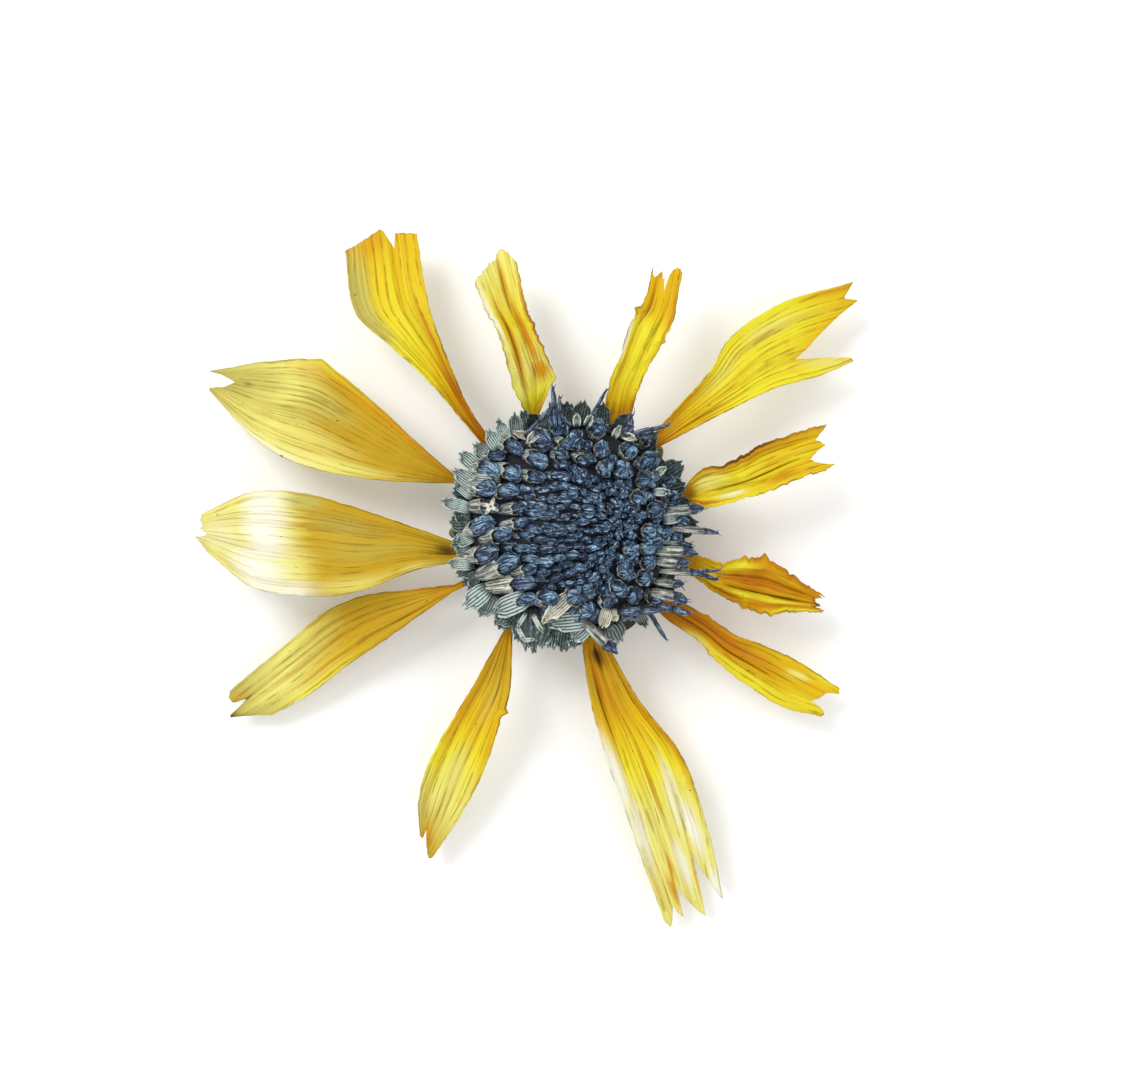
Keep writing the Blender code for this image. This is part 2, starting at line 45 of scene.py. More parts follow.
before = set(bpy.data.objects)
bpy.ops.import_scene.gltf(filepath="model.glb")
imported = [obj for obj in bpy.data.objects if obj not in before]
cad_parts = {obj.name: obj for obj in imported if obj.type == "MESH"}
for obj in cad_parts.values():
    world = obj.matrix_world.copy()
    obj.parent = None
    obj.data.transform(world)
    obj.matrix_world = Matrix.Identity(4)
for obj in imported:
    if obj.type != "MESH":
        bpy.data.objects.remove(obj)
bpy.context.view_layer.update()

MM = 0.001
BODY = "root"
UP = Vector((0.0, 0.0, 1.0))

# The head's main sizes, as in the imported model.
CUP_FLOOR = 6.0
RIM_RADIUS = 14.5
WALL_INNER = 12.7
WALL_OUTER = 13.5
WALL_TOP = 8.0
GAP = 0.3
DISC_RADIUS = WALL_INNER - GAP
DISC_SHOULDER = 9.0
DISC_CROWN = 12.6

# A petal's root: where it stands on the cup, how far it reaches back in u from the first station,
# and its width as a share of the petal's there.
PETAL_ROOT_RADIUS = WALL_OUTER + GAP
PETAL_ROOT_HEIGHT = CUP_FLOOR + 2 * GAP
ROOT_LENGTH = 0.1
ROOT_SHARE = 0.84

# A crease is made this share of the depth that the petals' table gives it.
PLEAT_SHARE = 0.45

# The spiral of small florets starts at the eye. They lean towards the meeting point, less so when
# they stand nearer to it than LEAN_REACH, and sink where they are past SINK_RADIUS from the axis.
DISC_EYE = Vector((5.0, 0.2, 0.0))
MEETING_POINT = Vector((6.0, -0.5))
LEAN_REACH = 6.0
SPIRAL_REACH = 12.1
GOLDEN_ANGLE = math.radians(137.508)
SINK_RADIUS = 9.5
SINK_WIDTH = 2.6
SMALL_SLEEVE = 1.7

# A floret's sleeve and its head, as pairs of rise and width: shares of its length and its radius.
# The sleeve turns back inside its mouth, and a worn one is no wider than WORN_WIDTH.
SLEEVE = (
    (0.0, 0.62), (0.25, 0.84), (0.5, 0.96), (0.72, 1.02), (0.88, 1.07), (1.0, 1.10), (0.97, 1.00),
    (0.8, 0.88),
)
CAP = (
    (0.0, 0.80), (0.2, 0.92), (0.36, 0.98), (0.5, 1.0), (0.62, 0.98), (0.73, 0.92), (0.83, 0.80),
    (0.91, 0.62), (0.96, 0.42), (0.99, 0.22), (1.0, 0.04),
)
WORN_WIDTH = 0.92

# Florets wider than this are made with more points.
FINE_RADIUS = 0.82
FLORET_VALUES = ("along", "around", "groove", "pale", "tone")

# The ring's scales before each is varied, and the direction in which they are darkest, as painted shade.
CHAFF_REACH = 2.9
CHAFF_HALF_WIDTH = 1.3
SHADED_CHAFF_ANGLE = math.radians(40.0)
SCALE_VALUES = ("along", "groove", "tone")

# The cup's outline, as radius and height, from the cut stalk out to the rim and in over the top.
CUP_PROFILE = (
    (0.1, 0.0), (3.9, 0.0), (4.0, 0.3), (4.1, 1.0), (4.4, 1.8), (6.0, 2.4), (8.0, 3.0), (10.3, 3.7),
    (12.4, 4.3), (13.6, 4.9), (RIM_RADIUS, 5.5), (RIM_RADIUS, CUP_FLOOR), (12.0, CUP_FLOOR), (0.1, CUP_FLOOR),
)

# Each whorl of bracts: how many, the radius and height of their roots, their length and half-width.
BRACT_WHORLS = ((13, 7.4, 3.1, 7.4, 2.1), (13, 10.0, 4.3, 5.2, 1.9))

# The stage, in metres, with the camera's sensor in millimetres. Each lamp has its share of the main
# light's power, its size and its place.
TABLE_SIZE = 6.0
CAMERA_SPOT = (-0.0009, -0.0022)
SENSOR_WIDTH = 36.0
LAMPS = {"key": (1.0, 0.25, (-0.30, 0.28, 0.42)), "fill": (0.3, 0.4, (0.36, -0.25, 0.35))}

# Each petal's two edges at six even stations from root to tip, in plan, and its height along the
# middle. cup lifts the edges. tip gives how far the end stands past the last station, across.
# pleats are creases: place across, depth, half-width, and where along the petal they start and
# end. nicks are bites (below 0) and spurs in an edge: side, place along, depth and half-length.
# crumple is how wrinkled and frayed the petal is. wash runs from tint to tint along it, and stains
# lay a tint on a patch: place along and across, half-length, half-width and strength.
# The brown stains that run along valley creases and by the tips' slits are partly the petals' own brown and
# partly painted shade.
PETALS = {
    "ray_petal_01": {
        "left": ((-10.75, 10.25), (-14.4, 14.6), (-18.2, 18.9), (-22.6, 22.9), (-26.9, 27.1), (-28.1, 34.6)),
        "right": ((-10.1, 11.1), (-12.8, 15.2), (-14.9, 20.1), (-16.6, 24.5), (-18.0, 29.4), (-19.2, 36.8)),
        "tip": ((-1, 0), (-0.5, 0.6), (0.0, 1.25), (0.1, 1.1), (0.33, -1.0), (0.42, 0.5), (0.8, 0.2), (1, 0)),
        "rise": (6.6, 7.2, 7.6, 7.4, 6.6, 5.6),
        "cup": (0.2, 0.8, 0.9, 0.6, 0.3, 0.2),
        "pleats": (
            (-0.45, -0.6, 0.14, 0.0, 0.8), (0.0, 0.35, 0.12, 0.1, 1.0), (0.33, -0.7, 0.06, 0.3, 1.1),
            (0.62, 0.4, 0.12, 0.2, 1.1), (-0.05, -0.8, 0.08, -0.1, 0.4), (0.5, 0.4, 0.1, -0.1, 0.4),
        ),
        "crumple": 0.08,
        "wash": ((0.0, "scorch"), (0.14, "amber"), (0.35, "gold"), (0.6, "lemon"), (1.0, "gold")),
        "stains": (
            ("olive", 0.8, -0.8, 0.26, 0.4, 1.0), ("lemon", 0.42, -0.8, 0.16, 0.35, 1.0),
            ("amber", 0.98, -0.35, 0.07, 0.45, 0.7), ("amber", 0.5, 0.75, 0.3, 0.25, 0.8),
            ("scorch", 0.2, 0.6, 0.22, 0.4, 1.0), ("straw", 0.15, -0.5, 0.12, 0.2, 0.6),
            ("brown", 0.12, -0.1, 0.14, 0.06, 0.9), ("brown", 0.12, -0.75, 0.1, 0.06, 0.6),
            ("lemon", 0.75, 0.1, 0.25, 0.12, 0.8), ("brown", 0.85, 0.32, 0.12, 0.025, 0.6),
        ),
    },
    "ray_petal_02": {
        "left": ((-5.0, 13.5), (-6.9, 16.9), (-8.0, 21.1), (-9.1, 24.6), (-10.5, 27.0), (-11.9, 30.5)),
        "right": ((-3.9, 14.25), (-2.25, 18.6), (-3.1, 21.6), (-4.5, 24.9), (-5.75, 28.4), (-6.75, 33.25)),
        "tip": (
            (-1, 0), (-0.8, 0.5), (-0.6, 0.4), (-0.5, 1.0), (-0.3, 0.8), (-0.2, 1.2), (0.1, 1.2),
            (0.4, 1.9), (0.55, 1.7), (0.75, 1.0), (1, 0),
        ),
        "rise": (6.6, 7.6, 8.2, 8.2, 7.6, 7.0),
        "cup": (0.2, 0.6, 0.8, 0.8, 0.7, 0.4),
        "pleats": (
            (-0.42, -1.1, 0.1, 0.1, 1.0), (0.22, -1.1, 0.1, 0.15, 1.05), (-0.1, 0.5, 0.14, 0.1, 1.0),
            (0.6, 0.4, 0.14, 0.2, 1.0),
        ),
        "nicks": ((1, 0.2, 0.6, 0.05), (1, 0.45, 0.2, 0.04), (1, 0.62, 0.2, 0.03)),
        "crumple": 0.25,
        "wash": ((0.0, "amber"), (0.12, "lemon"), (0.3, "straw"), (0.6, "lemon"), (1.0, "straw")),
        "stains": (
            ("amber", 0.5, -0.42, 0.36, 0.22, 1.0), ("amber", 0.5, 0.45, 0.3, 0.24, 1.0),
            ("scorch", 0.6, 0.4, 0.25, 0.1, 0.8), ("scorch", 0.5, -0.42, 0.3, 0.1, 0.8),
            ("amber", 0.27, 0.5, 0.08, 0.5, 1.0), ("straw", 0.2, -0.6, 0.1, 0.3, 0.8),
            ("pale", 0.7, -0.88, 0.3, 0.16, 0.9), ("amber", 0.6, 0.92, 0.35, 0.12, 0.9),
            ("brown", 0.55, 1.0, 0.3, 0.06, 0.8), ("amber", 0.85, 0.25, 0.16, 0.2, 0.9),
        ),
    },
    "ray_petal_03": {
        "left": ((4.1, 14.0), (4.9, 18.0), (6.25, 21.5), (7.6, 25.75), (9.2, 28.2), (10.25, 32.25)),
        "right": ((7.75, 14.4), (8.4, 17.1), (9.75, 20.1), (11.5, 23.1), (12.9, 26.25), (13.9, 31.9)),
        "tip": (
            (-1, 0), (-0.88, -0.7), (-0.72, -1.0), (-0.3, -0.2), (-0.18, -1.0), (-0.08, -0.8), (0.02, -2.2),
            (0.14, -1.2), (0.22, -0.5), (0.4, 0.0), (0.7, 0.2), (0.9, 0.1), (1, -0.2),
        ),
        "rise": (6.6, 7.8, 8.8, 9.2, 9.2, 8.8),
        "cup": (0.2, 0.5, 0.6, 0.6, 0.5, 0.3),
        "pleats": (
            (-0.55, -0.7, 0.1, 0.2, 1.0), (0.35, -0.7, 0.08, 0.35, 0.85), (0.0, 0.3, 0.2, 0.0, 1.0),
            (0.75, -0.4, 0.1, 0.2, 0.6),
        ),
        "nicks": ((-1, 0.7, 0.5, 0.04), (-1, 0.62, -0.3, 0.04), (1, 0.6, 0.3, 0.03)),
        "crumple": 0.16,
        "wash": (
            (0.0, "amber"), (0.1, "gold"), (0.3, "lemon"), (0.65, "lemon"), (0.8, "gold"), (1.0, "gold"),
        ),
        "stains": (
            ("amber", 0.85, -0.7, 0.25, 0.25, 0.7), ("amber", 0.85, 0.75, 0.3, 0.25, 0.7),
            ("amber", 0.3, -0.7, 0.3, 0.12, 0.8), ("scorch", 0.04, 0.9, 0.1, 0.25, 0.9),
            ("scorch", 0.04, -0.95, 0.1, 0.2, 0.8), ("pale", 0.5, -0.95, 0.13, 0.14, 0.9),
            ("brown", 0.75, -0.5, 0.14, 0.04, 0.7), ("brown", 0.62, 0.35, 0.22, 0.04, 0.6),
            ("brown", 0.4, -0.1, 0.25, 0.035, 0.5), ("lemon", 0.7, 0.1, 0.14, 0.2, 0.8),
        ),
    },
    "ray_petal_04": {
        "left": ((10.0, 11.25), (13.9, 15.6), (17.5, 19.6), (20.25, 24.0), (26.4, 28.1), (35.5, 30.9)),
        "right": ((11.0, 10.1), (15.75, 12.6), (21.25, 15.4), (25.75, 17.5), (31.25, 19.1), (35.6, 20.9)),
        "tip": (
            (-1, 0), (-0.85, -0.3), (-0.65, -0.9), (-0.5, 0.5), (-0.35, -0.8), (0.0, -3.4), (0.25, -5.4),
            (0.42, -7.4), (0.5, -6.2), (0.62, -4.2), (0.8, -1.6), (0.9, -0.3), (1, -0.1),
        ),
        "rise": (6.6, 7.0, 7.0, 6.4, 5.4, 4.4),
        "cup": (0.2, 0.7, 0.8, 0.6, 0.3, 0.1),
        "pleats": (
            (-0.5, -0.4, 0.12, 0.0, 0.5), (0.0, 0.35, 0.14, 0.1, 0.9), (0.4, 0.5, 0.06, 0.2, 0.78),
            (0.55, -0.5, 0.08, 0.0, 0.5), (-0.3, -0.3, 0.1, 0.3, 1.0),
        ),
        "crumple": 0.07,
        "wash": (
            (0.0, "scorch"), (0.08, "amber"), (0.22, "gold"), (0.45, "lemon"), (0.85, "lemon"), (1.0, "gold"),
        ),
        "stains": (
            ("straw", 0.45, -0.5, 0.2, 0.45, 0.5), ("straw", 0.72, -0.55, 0.15, 0.3, 0.6),
            ("amber", 0.2, -0.9, 0.22, 0.16, 0.9), ("gold", 0.45, 0.2, 0.3, 0.22, 0.6),
            ("amber", 0.3, 0.62, 0.25, 0.1, 0.7), ("straw", 0.95, 0.75, 0.12, 0.3, 0.8),
            ("amber", 0.97, -0.9, 0.14, 0.12, 0.8), ("amber", 0.62, 0.05, 0.2, 0.08, 0.4),
            ("brown", 0.36, 0.24, 0.012, 0.04, 1.0), ("brown", 0.25, 0.66, 0.2, 0.03, 0.5),
        ),
    },
    "ray_petal_05": {
        "left": ((14.1, 4.9), (16.5, 7.25), (20.9, 8.5), (23.4, 10.25), (27.5, 11.6), (31.9, 12.9)),
        "right": ((14.5, 3.25), (17.0, 2.5), (21.25, 3.6), (24.6, 4.4), (28.5, 6.25), (31.75, 7.1)),
        "tip": (
            (-1, 0), (-0.8, -0.5), (-0.48, -1.3), (-0.3, -0.6), (-0.1, -0.1), (0.05, -1.0),
            (0.35, -2.1), (0.6, -0.9), (0.72, 0.1), (0.83, 1.3), (0.92, 0.3), (1, 0),
        ),
        "rise": (6.6, 7.4, 8.0, 8.2, 8.0, 7.6),
        "cup": (0.2, 0.9, 0.8, 0.7, 0.8, 0.6),
        "pleats": (
            (-0.5, -0.9, 0.1, 0.25, 1.0), (0.22, -1.0, 0.07, 0.25, 0.95), (-0.2, 0.6, 0.14, 0.1, 1.0),
            (0.55, -0.5, 0.09, 0.25, 0.95), (0.35, 0.4, 0.08, 0.3, 1.0),
        ),
        "nicks": ((-1, 0.3, -0.3, 0.05), (-1, 0.42, 0.3, 0.04), (1, 0.12, -0.3, 0.05), (1, 0.6, -0.2, 0.05)),
        "crumple": 0.25,
        "wash": ((0.0, "amber"), (0.14, "gold"), (0.35, "lemon"), (1.0, "gold")),
        "stains": (
            ("amber", 0.55, -0.82, 0.5, 0.22, 1.0), ("brown", 0.45, -0.97, 0.38, 0.1, 0.9),
            ("scorch", 0.03, 0.0, 0.1, 0.9, 0.7), ("straw", 0.22, -0.3, 0.14, 0.5, 0.8),
            ("pale", 0.36, 0.6, 0.1, 0.2, 0.7), ("brown", 0.55, 0.22, 0.28, 0.06, 0.9),
            ("amber", 0.66, -0.1, 0.2, 0.16, 0.5), ("scorch", 0.15, 0.75, 0.12, 0.18, 0.9),
            ("amber", 0.72, 0.6, 0.14, 0.2, 0.8), ("lemon", 0.88, 0.1, 0.12, 0.3, 0.8),
            ("brown", 0.72, -0.55, 0.16, 0.06, 0.5),
        ),
    },
    "ray_petal_06": {
        "left": ((15.25, -3.1), (18.25, -4.25), (21.4, -3.9), (24.6, -4.0), (27.9, -6.0), (30.9, -8.0)),
        "right": ((15.4, -6.1), (18.25, -8.1), (21.4, -9.6), (24.4, -10.75), (27.6, -10.6), (31.25, -10.6)),
        "tip": (
            (-1, 1.2), (-0.8, 0.3), (-0.6, 0.5), (-0.3, -0.3), (0.0, -0.5), (0.3, 0.2), (0.5, -0.4),
            (0.8, 0.5), (1, 0.2),
        ),
        "rise": (6.6, 6.8, 6.8, 6.6, 6.0, 5.2),
        "cup": (0.2, 0.8, 1.0, 1.0, 0.8, 0.4),
        "pleats": (
            (-0.6, 0.9, 0.1, 0.2, 0.95), (-0.3, -0.9, 0.08, 0.2, 1.0), (0.1, 0.8, 0.1, 0.2, 1.0),
            (0.28, -0.9, 0.07, 0.3, 1.0), (0.5, 0.8, 0.08, 0.1, 0.9), (0.75, -0.6, 0.08, 0.1, 0.8),
        ),
        "nicks": (
            (-1, 0.58, 0.9, 0.04), (-1, 0.25, -0.4, 0.06), (-1, 0.42, 0.3, 0.03), (-1, 0.8, 0.3, 0.03),
            (1, 0.4, 0.3, 0.04), (1, 0.75, -0.3, 0.05),
        ),
        "crumple": 0.4,
        "wash": ((0.0, "amber"), (0.2, "gold"), (0.45, "amber"), (1.0, "amber")),
        "stains": (
            ("scorch", 0.45, -0.2, 0.35, 0.4, 0.8), ("straw", 0.16, -0.1, 0.06, 0.3, 0.6),
            ("lemon", 0.36, -0.68, 0.16, 0.3, 1.0), ("lemon", 0.6, 0.45, 0.4, 0.14, 1.0),
            ("lemon", 0.4, 0.58, 0.12, 0.2, 0.9), ("scorch", 0.25, 0.75, 0.16, 0.2, 0.9),
            ("lemon", 0.8, 0.88, 0.25, 0.14, 0.9), ("brown", 0.7, 0.26, 0.3, 0.05, 0.9),
            ("brown", 0.99, 0.3, 0.03, 0.6, 0.8), ("gold", 0.75, -0.5, 0.2, 0.14, 0.8),
            ("scorch", 0.85, -0.85, 0.2, 0.15, 0.8), ("brown", 0.5, -0.35, 0.2, 0.04, 0.6),
        ),
    },
    "ray_petal_07": {
        "left": ((13.5, -9.0), (17.1, -11.1), (20.9, -13.5), (24.75, -14.9), (29.0, -17.0), (33.75, -20.1)),
        "right": (
            (12.25, -11.6), (15.9, -14.0), (18.75, -17.0), (22.5, -19.9), (26.6, -22.4), (31.5, -23.75),
        ),
        "tip": (
            (-1, 0), (-0.7, 0.4), (-0.4, -0.9), (0.0, -1.2), (0.3, -1.9), (0.45, -0.8), (0.6, -0.2),
            (0.8, 0.2), (1, 0),
        ),
        "rise": (6.6, 6.7, 6.4, 5.6, 4.6, 3.8),
        "cup": (0.2, 0.7, 0.7, 0.5, 0.4, 0.2),
        "pleats": (
            (-0.6, -0.5, 0.12, 0.1, 0.9), (-0.15, 0.6, 0.12, 0.0, 1.0), (0.12, -1.0, 0.07, 0.0, 0.8),
            (0.6, 0.5, 0.12, 0.2, 1.0),
        ),
        "nicks": ((-1, 0.2, 0.2, 0.03), (1, 0.3, 0.2, 0.04)),
        "crumple": 0.1,
        "wash": ((0.0, "scorch"), (0.35, "amber"), (0.7, "gold"), (1.0, "gold")),
        "stains": (
            ("scorch", 0.3, -0.35, 0.35, 0.45, 1.0), ("brown", 0.32, 0.12, 0.26, 0.04, 0.8),
            ("brown", 0.28, -0.35, 0.3, 0.04, 0.7), ("lemon", 0.6, 0.8, 0.45, 0.45, 1.0),
            ("lemon", 0.92, 0.6, 0.15, 0.5, 0.9), ("straw", 0.22, 0.9, 0.14, 0.25, 0.9),
            ("straw", 0.82, -0.5, 0.07, 0.22, 0.9), ("amber", 0.62, -0.2, 0.2, 0.3, 0.8),
            ("brown", 0.75, -0.12, 0.15, 0.04, 0.7), ("lemon", 0.92, -0.85, 0.1, 0.25, 0.7),
        ),
    },
    "ray_petal_08": {
        "left": (
            (5.0, -15.25), (8.75, -21.75), (13.6, -27.9), (16.0, -33.75), (17.75, -39.6), (19.25, -46.5),
        ),
        "right": ((1.6, -15.5), (2.6, -21.75), (4.25, -27.9), (6.4, -34.0), (8.6, -40.5), (11.9, -49.6)),
        "tip": (
            (-1, 0.2), (-0.9, -0.4), (-0.8, -1.6), (-0.57, -3.6), (-0.39, -6.4), (-0.33, 1.2),
            (-0.15, 0.5), (0.1, -1.2), (0.3, -3.1), (0.38, 0.4), (0.5, -0.4), (0.59, -1.2),
            (0.75, 0.2), (0.88, 0.7), (1, 0),
        ),
        "rise": (6.6, 6.6, 6.2, 5.3, 4.0, 2.8),
        "cup": (0.3, 0.9, 0.9, 0.7, 0.5, 0.2),
        "pleats": (
            (-0.38, -0.5, 0.06, 0.4, 1.0), (0.32, -0.6, 0.08, 0.3, 1.0), (0.0, 0.4, 0.14, 0.1, 1.0),
            (0.62, -0.9, 0.07, 0.0, 0.5), (-0.75, -0.8, 0.07, 0.0, 0.55), (0.1, -1.2, 0.12, -0.1, 0.15),
            (0.3, 0.5, 0.1, 0.0, 0.4),
        ),
        "crumple": 0.1,
        "wash": (
            (0.0, "amber"), (0.12, "ochre"), (0.3, "gold"), (0.5, "lemon"), (0.7, "straw"), (1.0, "straw"),
        ),
        "stains": (
            ("pale", 0.6, -0.35, 0.16, 0.22, 0.7), ("pale", 0.8, -0.6, 0.14, 0.22, 0.9),
            ("brown", 0.02, 0.05, 0.05, 0.35, 1.0), ("amber", 0.18, 0.0, 0.14, 0.6, 0.7),
            ("pale", 0.86, -0.05, 0.1, 0.2, 0.8), ("pale", 0.5, 0.95, 0.2, 0.25, 1.0),
            ("pale", 0.72, 0.8, 0.16, 0.25, 0.8), ("pale", 0.97, -0.85, 0.08, 0.16, 0.9),
            ("amber", 0.33, -0.9, 0.3, 0.12, 0.9), ("amber", 0.2, 0.25, 0.14, 0.14, 0.9),
            ("scorch", 0.12, 0.45, 0.12, 0.14, 0.9), ("brown", 0.22, 0.62, 0.2, 0.04, 0.9),
            ("brown", 0.2, -0.75, 0.22, 0.035, 0.8), ("amber", 0.9, -0.33, 0.1, 0.06, 0.9),
            ("amber", 0.93, 0.36, 0.06, 0.2, 0.9), ("amber", 0.52, 0.1, 0.2, 0.07, 0.7),
            ("brown", 0.84, -0.39, 0.06, 0.03, 0.8),
        ),
    },
    "ray_petal_09": {
        "left": (
            (-7.25, -13.4), (-7.6, -20.5), (-9.0, -25.0), (-10.5, -29.6), (-13.5, -35.75), (-17.4, -41.5),
        ),
        "right": (
            (-8.5, -13.25), (-11.4, -18.5), (-14.4, -23.5), (-17.5, -29.0), (-19.0, -34.0), (-18.9, -38.75),
        ),
        "tip": (
            (-1, 0), (-0.8, 0.4), (-0.4, 0.3), (0.05, -0.2), (0.25, -0.8), (0.4, -1.8), (0.55, -0.6),
            (0.7, -0.1), (1, 0),
        ),
        "rise": (6.6, 6.6, 6.0, 5.0, 3.8, 2.8),
        "cup": (0.2, 0.7, 0.7, 0.6, 0.5, 0.3),
        "pleats": (
            (-0.4, -0.4, 0.12, 0.0, 0.9), (0.2, 0.4, 0.14, 0.1, 1.0), (0.55, -0.4, 0.1, 0.1, 0.9),
            (0.0, -0.3, 0.1, 0.2, 1.0),
        ),
        "nicks": ((-1, 0.3, 0.5, 0.025), (-1, 0.35, -0.2, 0.03)),
        "crumple": 0.08,
        "wash": (
            (0.0, "amber"), (0.12, "ochre"), (0.38, "gold"), (0.6, "lemon"), (0.8, "straw"), (1.0, "ochre"),
        ),
        "stains": (
            ("amber", 0.5, -0.85, 0.25, 0.16, 0.7), ("straw", 0.66, 0.0, 0.16, 0.5, 0.8),
            ("straw", 0.3, -0.2, 0.2, 0.6, 0.35),
            ("olive", 0.85, 0.8, 0.2, 0.2, 0.8), ("amber", 0.98, 0.1, 0.06, 0.6, 0.8),
            ("brown", 0.15, 0.3, 0.15, 0.05, 0.7), ("brown", 0.2, -0.3, 0.15, 0.05, 0.6),
            ("amber", 0.35, 0.88, 0.25, 0.14, 0.8), ("brown", 0.8, 1.0, 0.2, 0.06, 0.5),
        ),
    },
    "ray_petal_10": {
        "left": (
            (-14.75, -8.0), (-19.1, -11.1), (-23.75, -14.4), (-28.6, -17.75), (-33.1, -21.1), (-37.75, -23.6),
        ),
        "right": (
            (-14.4, -7.1), (-19.75, -7.75), (-26.0, -8.5), (-31.1, -10.75), (-36.25, -15.0), (-42.9, -20.6),
        ),
        "tip": (
            (-1, 0), (-0.7, 0.8), (-0.5, 1.4), (0.0, 2.7), (0.12, 2.4), (0.2, 0.4), (0.26, -0.3),
            (0.5, 0.9), (0.8, 0.6), (1, 0),
        ),
        "rise": (6.6, 6.0, 4.9, 3.9, 3.0, 2.4),
        "cup": (0.2, 0.5, 0.4, 0.3, 0.3, 0.2),
        "pleats": (
            (-0.3, 0.35, 0.14, 0.1, 1.0), (0.3, -0.35, 0.1, 0.1, 1.0), (0.7, 0.3, 0.1, 0.1, 0.9),
            (-0.6, -0.6, 0.08, -0.1, 0.5),
        ),
        "crumple": 0.08,
        "wash": (
            (0.0, "amber"), (0.15, "ochre"), (0.5, "ochre"), (0.8, "straw"), (1.0, "olive"),
        ),
        "stains": (
            ("brown", 0.4, 0.5, 0.12, 0.2, 0.14), ("amber", 0.3, 0.0, 0.2, 0.5, 0.4),
            ("gold", 0.6, -0.5, 0.25, 0.4, 0.5), ("olive", 0.66, 0.3, 0.16, 0.4, 0.5),
            ("straw", 0.85, -0.1, 0.1, 0.4, 0.7), ("lemon", 0.7, -0.88, 0.3, 0.16, 0.7),
            ("brown", 1.0, 0.1, 0.03, 0.6, 0.7), ("brown", 0.18, -0.6, 0.16, 0.07, 0.7),
            ("scorch", 0.12, 0.9, 0.2, 0.14, 0.8), ("amber", 0.98, 0.6, 0.05, 0.4, 0.6),
        ),
    },
    "ray_petal_11": {
        "left": ((-14.4, -4.25), (-20.1, -5.5), (-26.5, -8.1), (-33.0, -8.5), (-39.5, -7.4), (-45.4, -3.0)),
        "right": ((-14.1, -1.9), (-20.4, 0.4), (-26.6, 2.5), (-33.0, 4.25), (-39.75, 4.4), (-46.0, 1.75)),
        "tip": (
            (-1, 0), (-0.75, 0.5), (-0.42, 1.4), (-0.25, 0.5), (-0.1, -0.2), (0.0, -0.3), (0.2, 0.5),
            (0.4, 0.1), (0.7, 0.3), (1, 0),
        ),
        "rise": (6.6, 7.7, 8.5, 8.5, 7.5, 6.0),
        "cup": (0.3, 0.5, 0.3, 0.1, -0.2, -0.3),
        "pleats": (
            (-0.5, -0.4, 0.12, 0.0, 0.6), (0.0, 0.35, 0.14, 0.0, 0.9), (0.5, -0.3, 0.12, 0.1, 0.9),
            (-0.2, -0.9, 0.16, -0.1, 0.2),
        ),
        "nicks": ((-1, 0.4, -0.25, 0.08),),
        "crumple": 0.08,
        "wash": (
            (0.0, "ochre"), (0.3, "ochre"), (0.58, "ochre"), (0.68, "straw"), (0.9, "straw"), (1.0, "straw"),
        ),
        "stains": (
            ("pale", 0.75, 0.4, 0.1, 1.2, 0.95), ("pale", 0.76, -0.6, 0.14, 0.7, 0.9),
            ("olive", 0.6, 0.85, 0.08, 0.2, 1.0), ("olive", 0.45, 0.5, 0.2, 0.3, 0.6),
            ("straw", 0.4, -0.85, 0.2, 0.3, 0.7), ("pale", 0.66, -0.95, 0.14, 0.35, 0.8),
            ("olive", 0.35, 0.0, 0.25, 0.4, 0.5), ("brown", 0.04, 0.1, 0.06, 0.5, 0.8),
            ("straw", 0.15, -0.85, 0.12, 0.25, 0.7), ("pale", 0.93, 0.0, 0.14, 1.2, 0.45),
            ("brown", 0.42, 0.6, 0.25, 0.45, 0.3), ("straw", 0.62, -0.5, 0.1, 0.5, 0.8),
        ),
    },
    "ray_petal_12": {
        "left": ((-14.6, 5.6), (-20.75, 5.75), (-27.5, 6.4), (-34.0, 8.0), (-39.6, 11.25), (-45.0, 17.0)),
        "right": (
            (-14.1, 6.25), (-19.25, 10.75), (-24.4, 15.6), (-31.0, 20.6), (-38.0, 20.75), (-45.25, 19.6),
        ),
        "tip": (
            (-1, 0.2), (-0.6, 0.1), (-0.2, -0.9), (0.1, -2.2), (0.36, -3.3), (0.55, -2.0), (0.7, -1.4),
            (0.85, -0.4), (1, 0),
        ),
        "rise": (6.6, 7.2, 7.4, 7.0, 6.0, 5.0),
        "cup": (0.2, 0.5, 0.5, 0.3, 0.1, 0.0),
        "pleats": (
            (-0.3, -0.35, 0.1, 0.0, 0.9), (0.2, 0.3, 0.12, 0.0, 1.0), (0.42, 0.8, 0.05, 0.45, 1.0),
            (-0.65, 0.3, 0.12, 0.1, 0.9),
        ),
        "nicks": ((1, 0.6, 0.45, 0.05),),
        "crumple": 0.08,
        "wash": (
            (0.0, "amber"), (0.1, "ochre"), (0.28, "ochre"), (0.55, "ochre"), (0.75, "straw"), (1.0, "olive"),
        ),
        "stains": (
            ("straw", 0.6, -0.5, 0.25, 0.35, 0.7), ("brown", 0.3, 0.1, 0.2, 0.4, 0.12),
            ("amber", 0.3, 0.85, 0.35, 0.16, 0.9), ("scorch", 0.1, 0.6, 0.12, 0.4, 0.5),
            ("straw", 0.55, -0.85, 0.35, 0.25, 1.0), ("pale", 0.75, -0.95, 0.25, 0.18, 0.6),
            ("olive", 0.85, 0.6, 0.14, 0.4, 0.6), ("straw", 0.9, -0.4, 0.14, 0.3, 0.6),
            ("olive", 0.6, 0.3, 0.15, 0.4, 0.7), ("lemon", 0.5, 0.97, 0.2, 0.12, 0.8),
            ("olive", 0.7, -0.1, 0.2, 0.3, 0.5), ("brown", 0.94, 0.4, 0.03, 0.2, 0.5),
        ),
    },
}
TINTS = ("ochre", "olive", "gold", "straw", "lemon", "amber", "pale", "scorch", "brown")
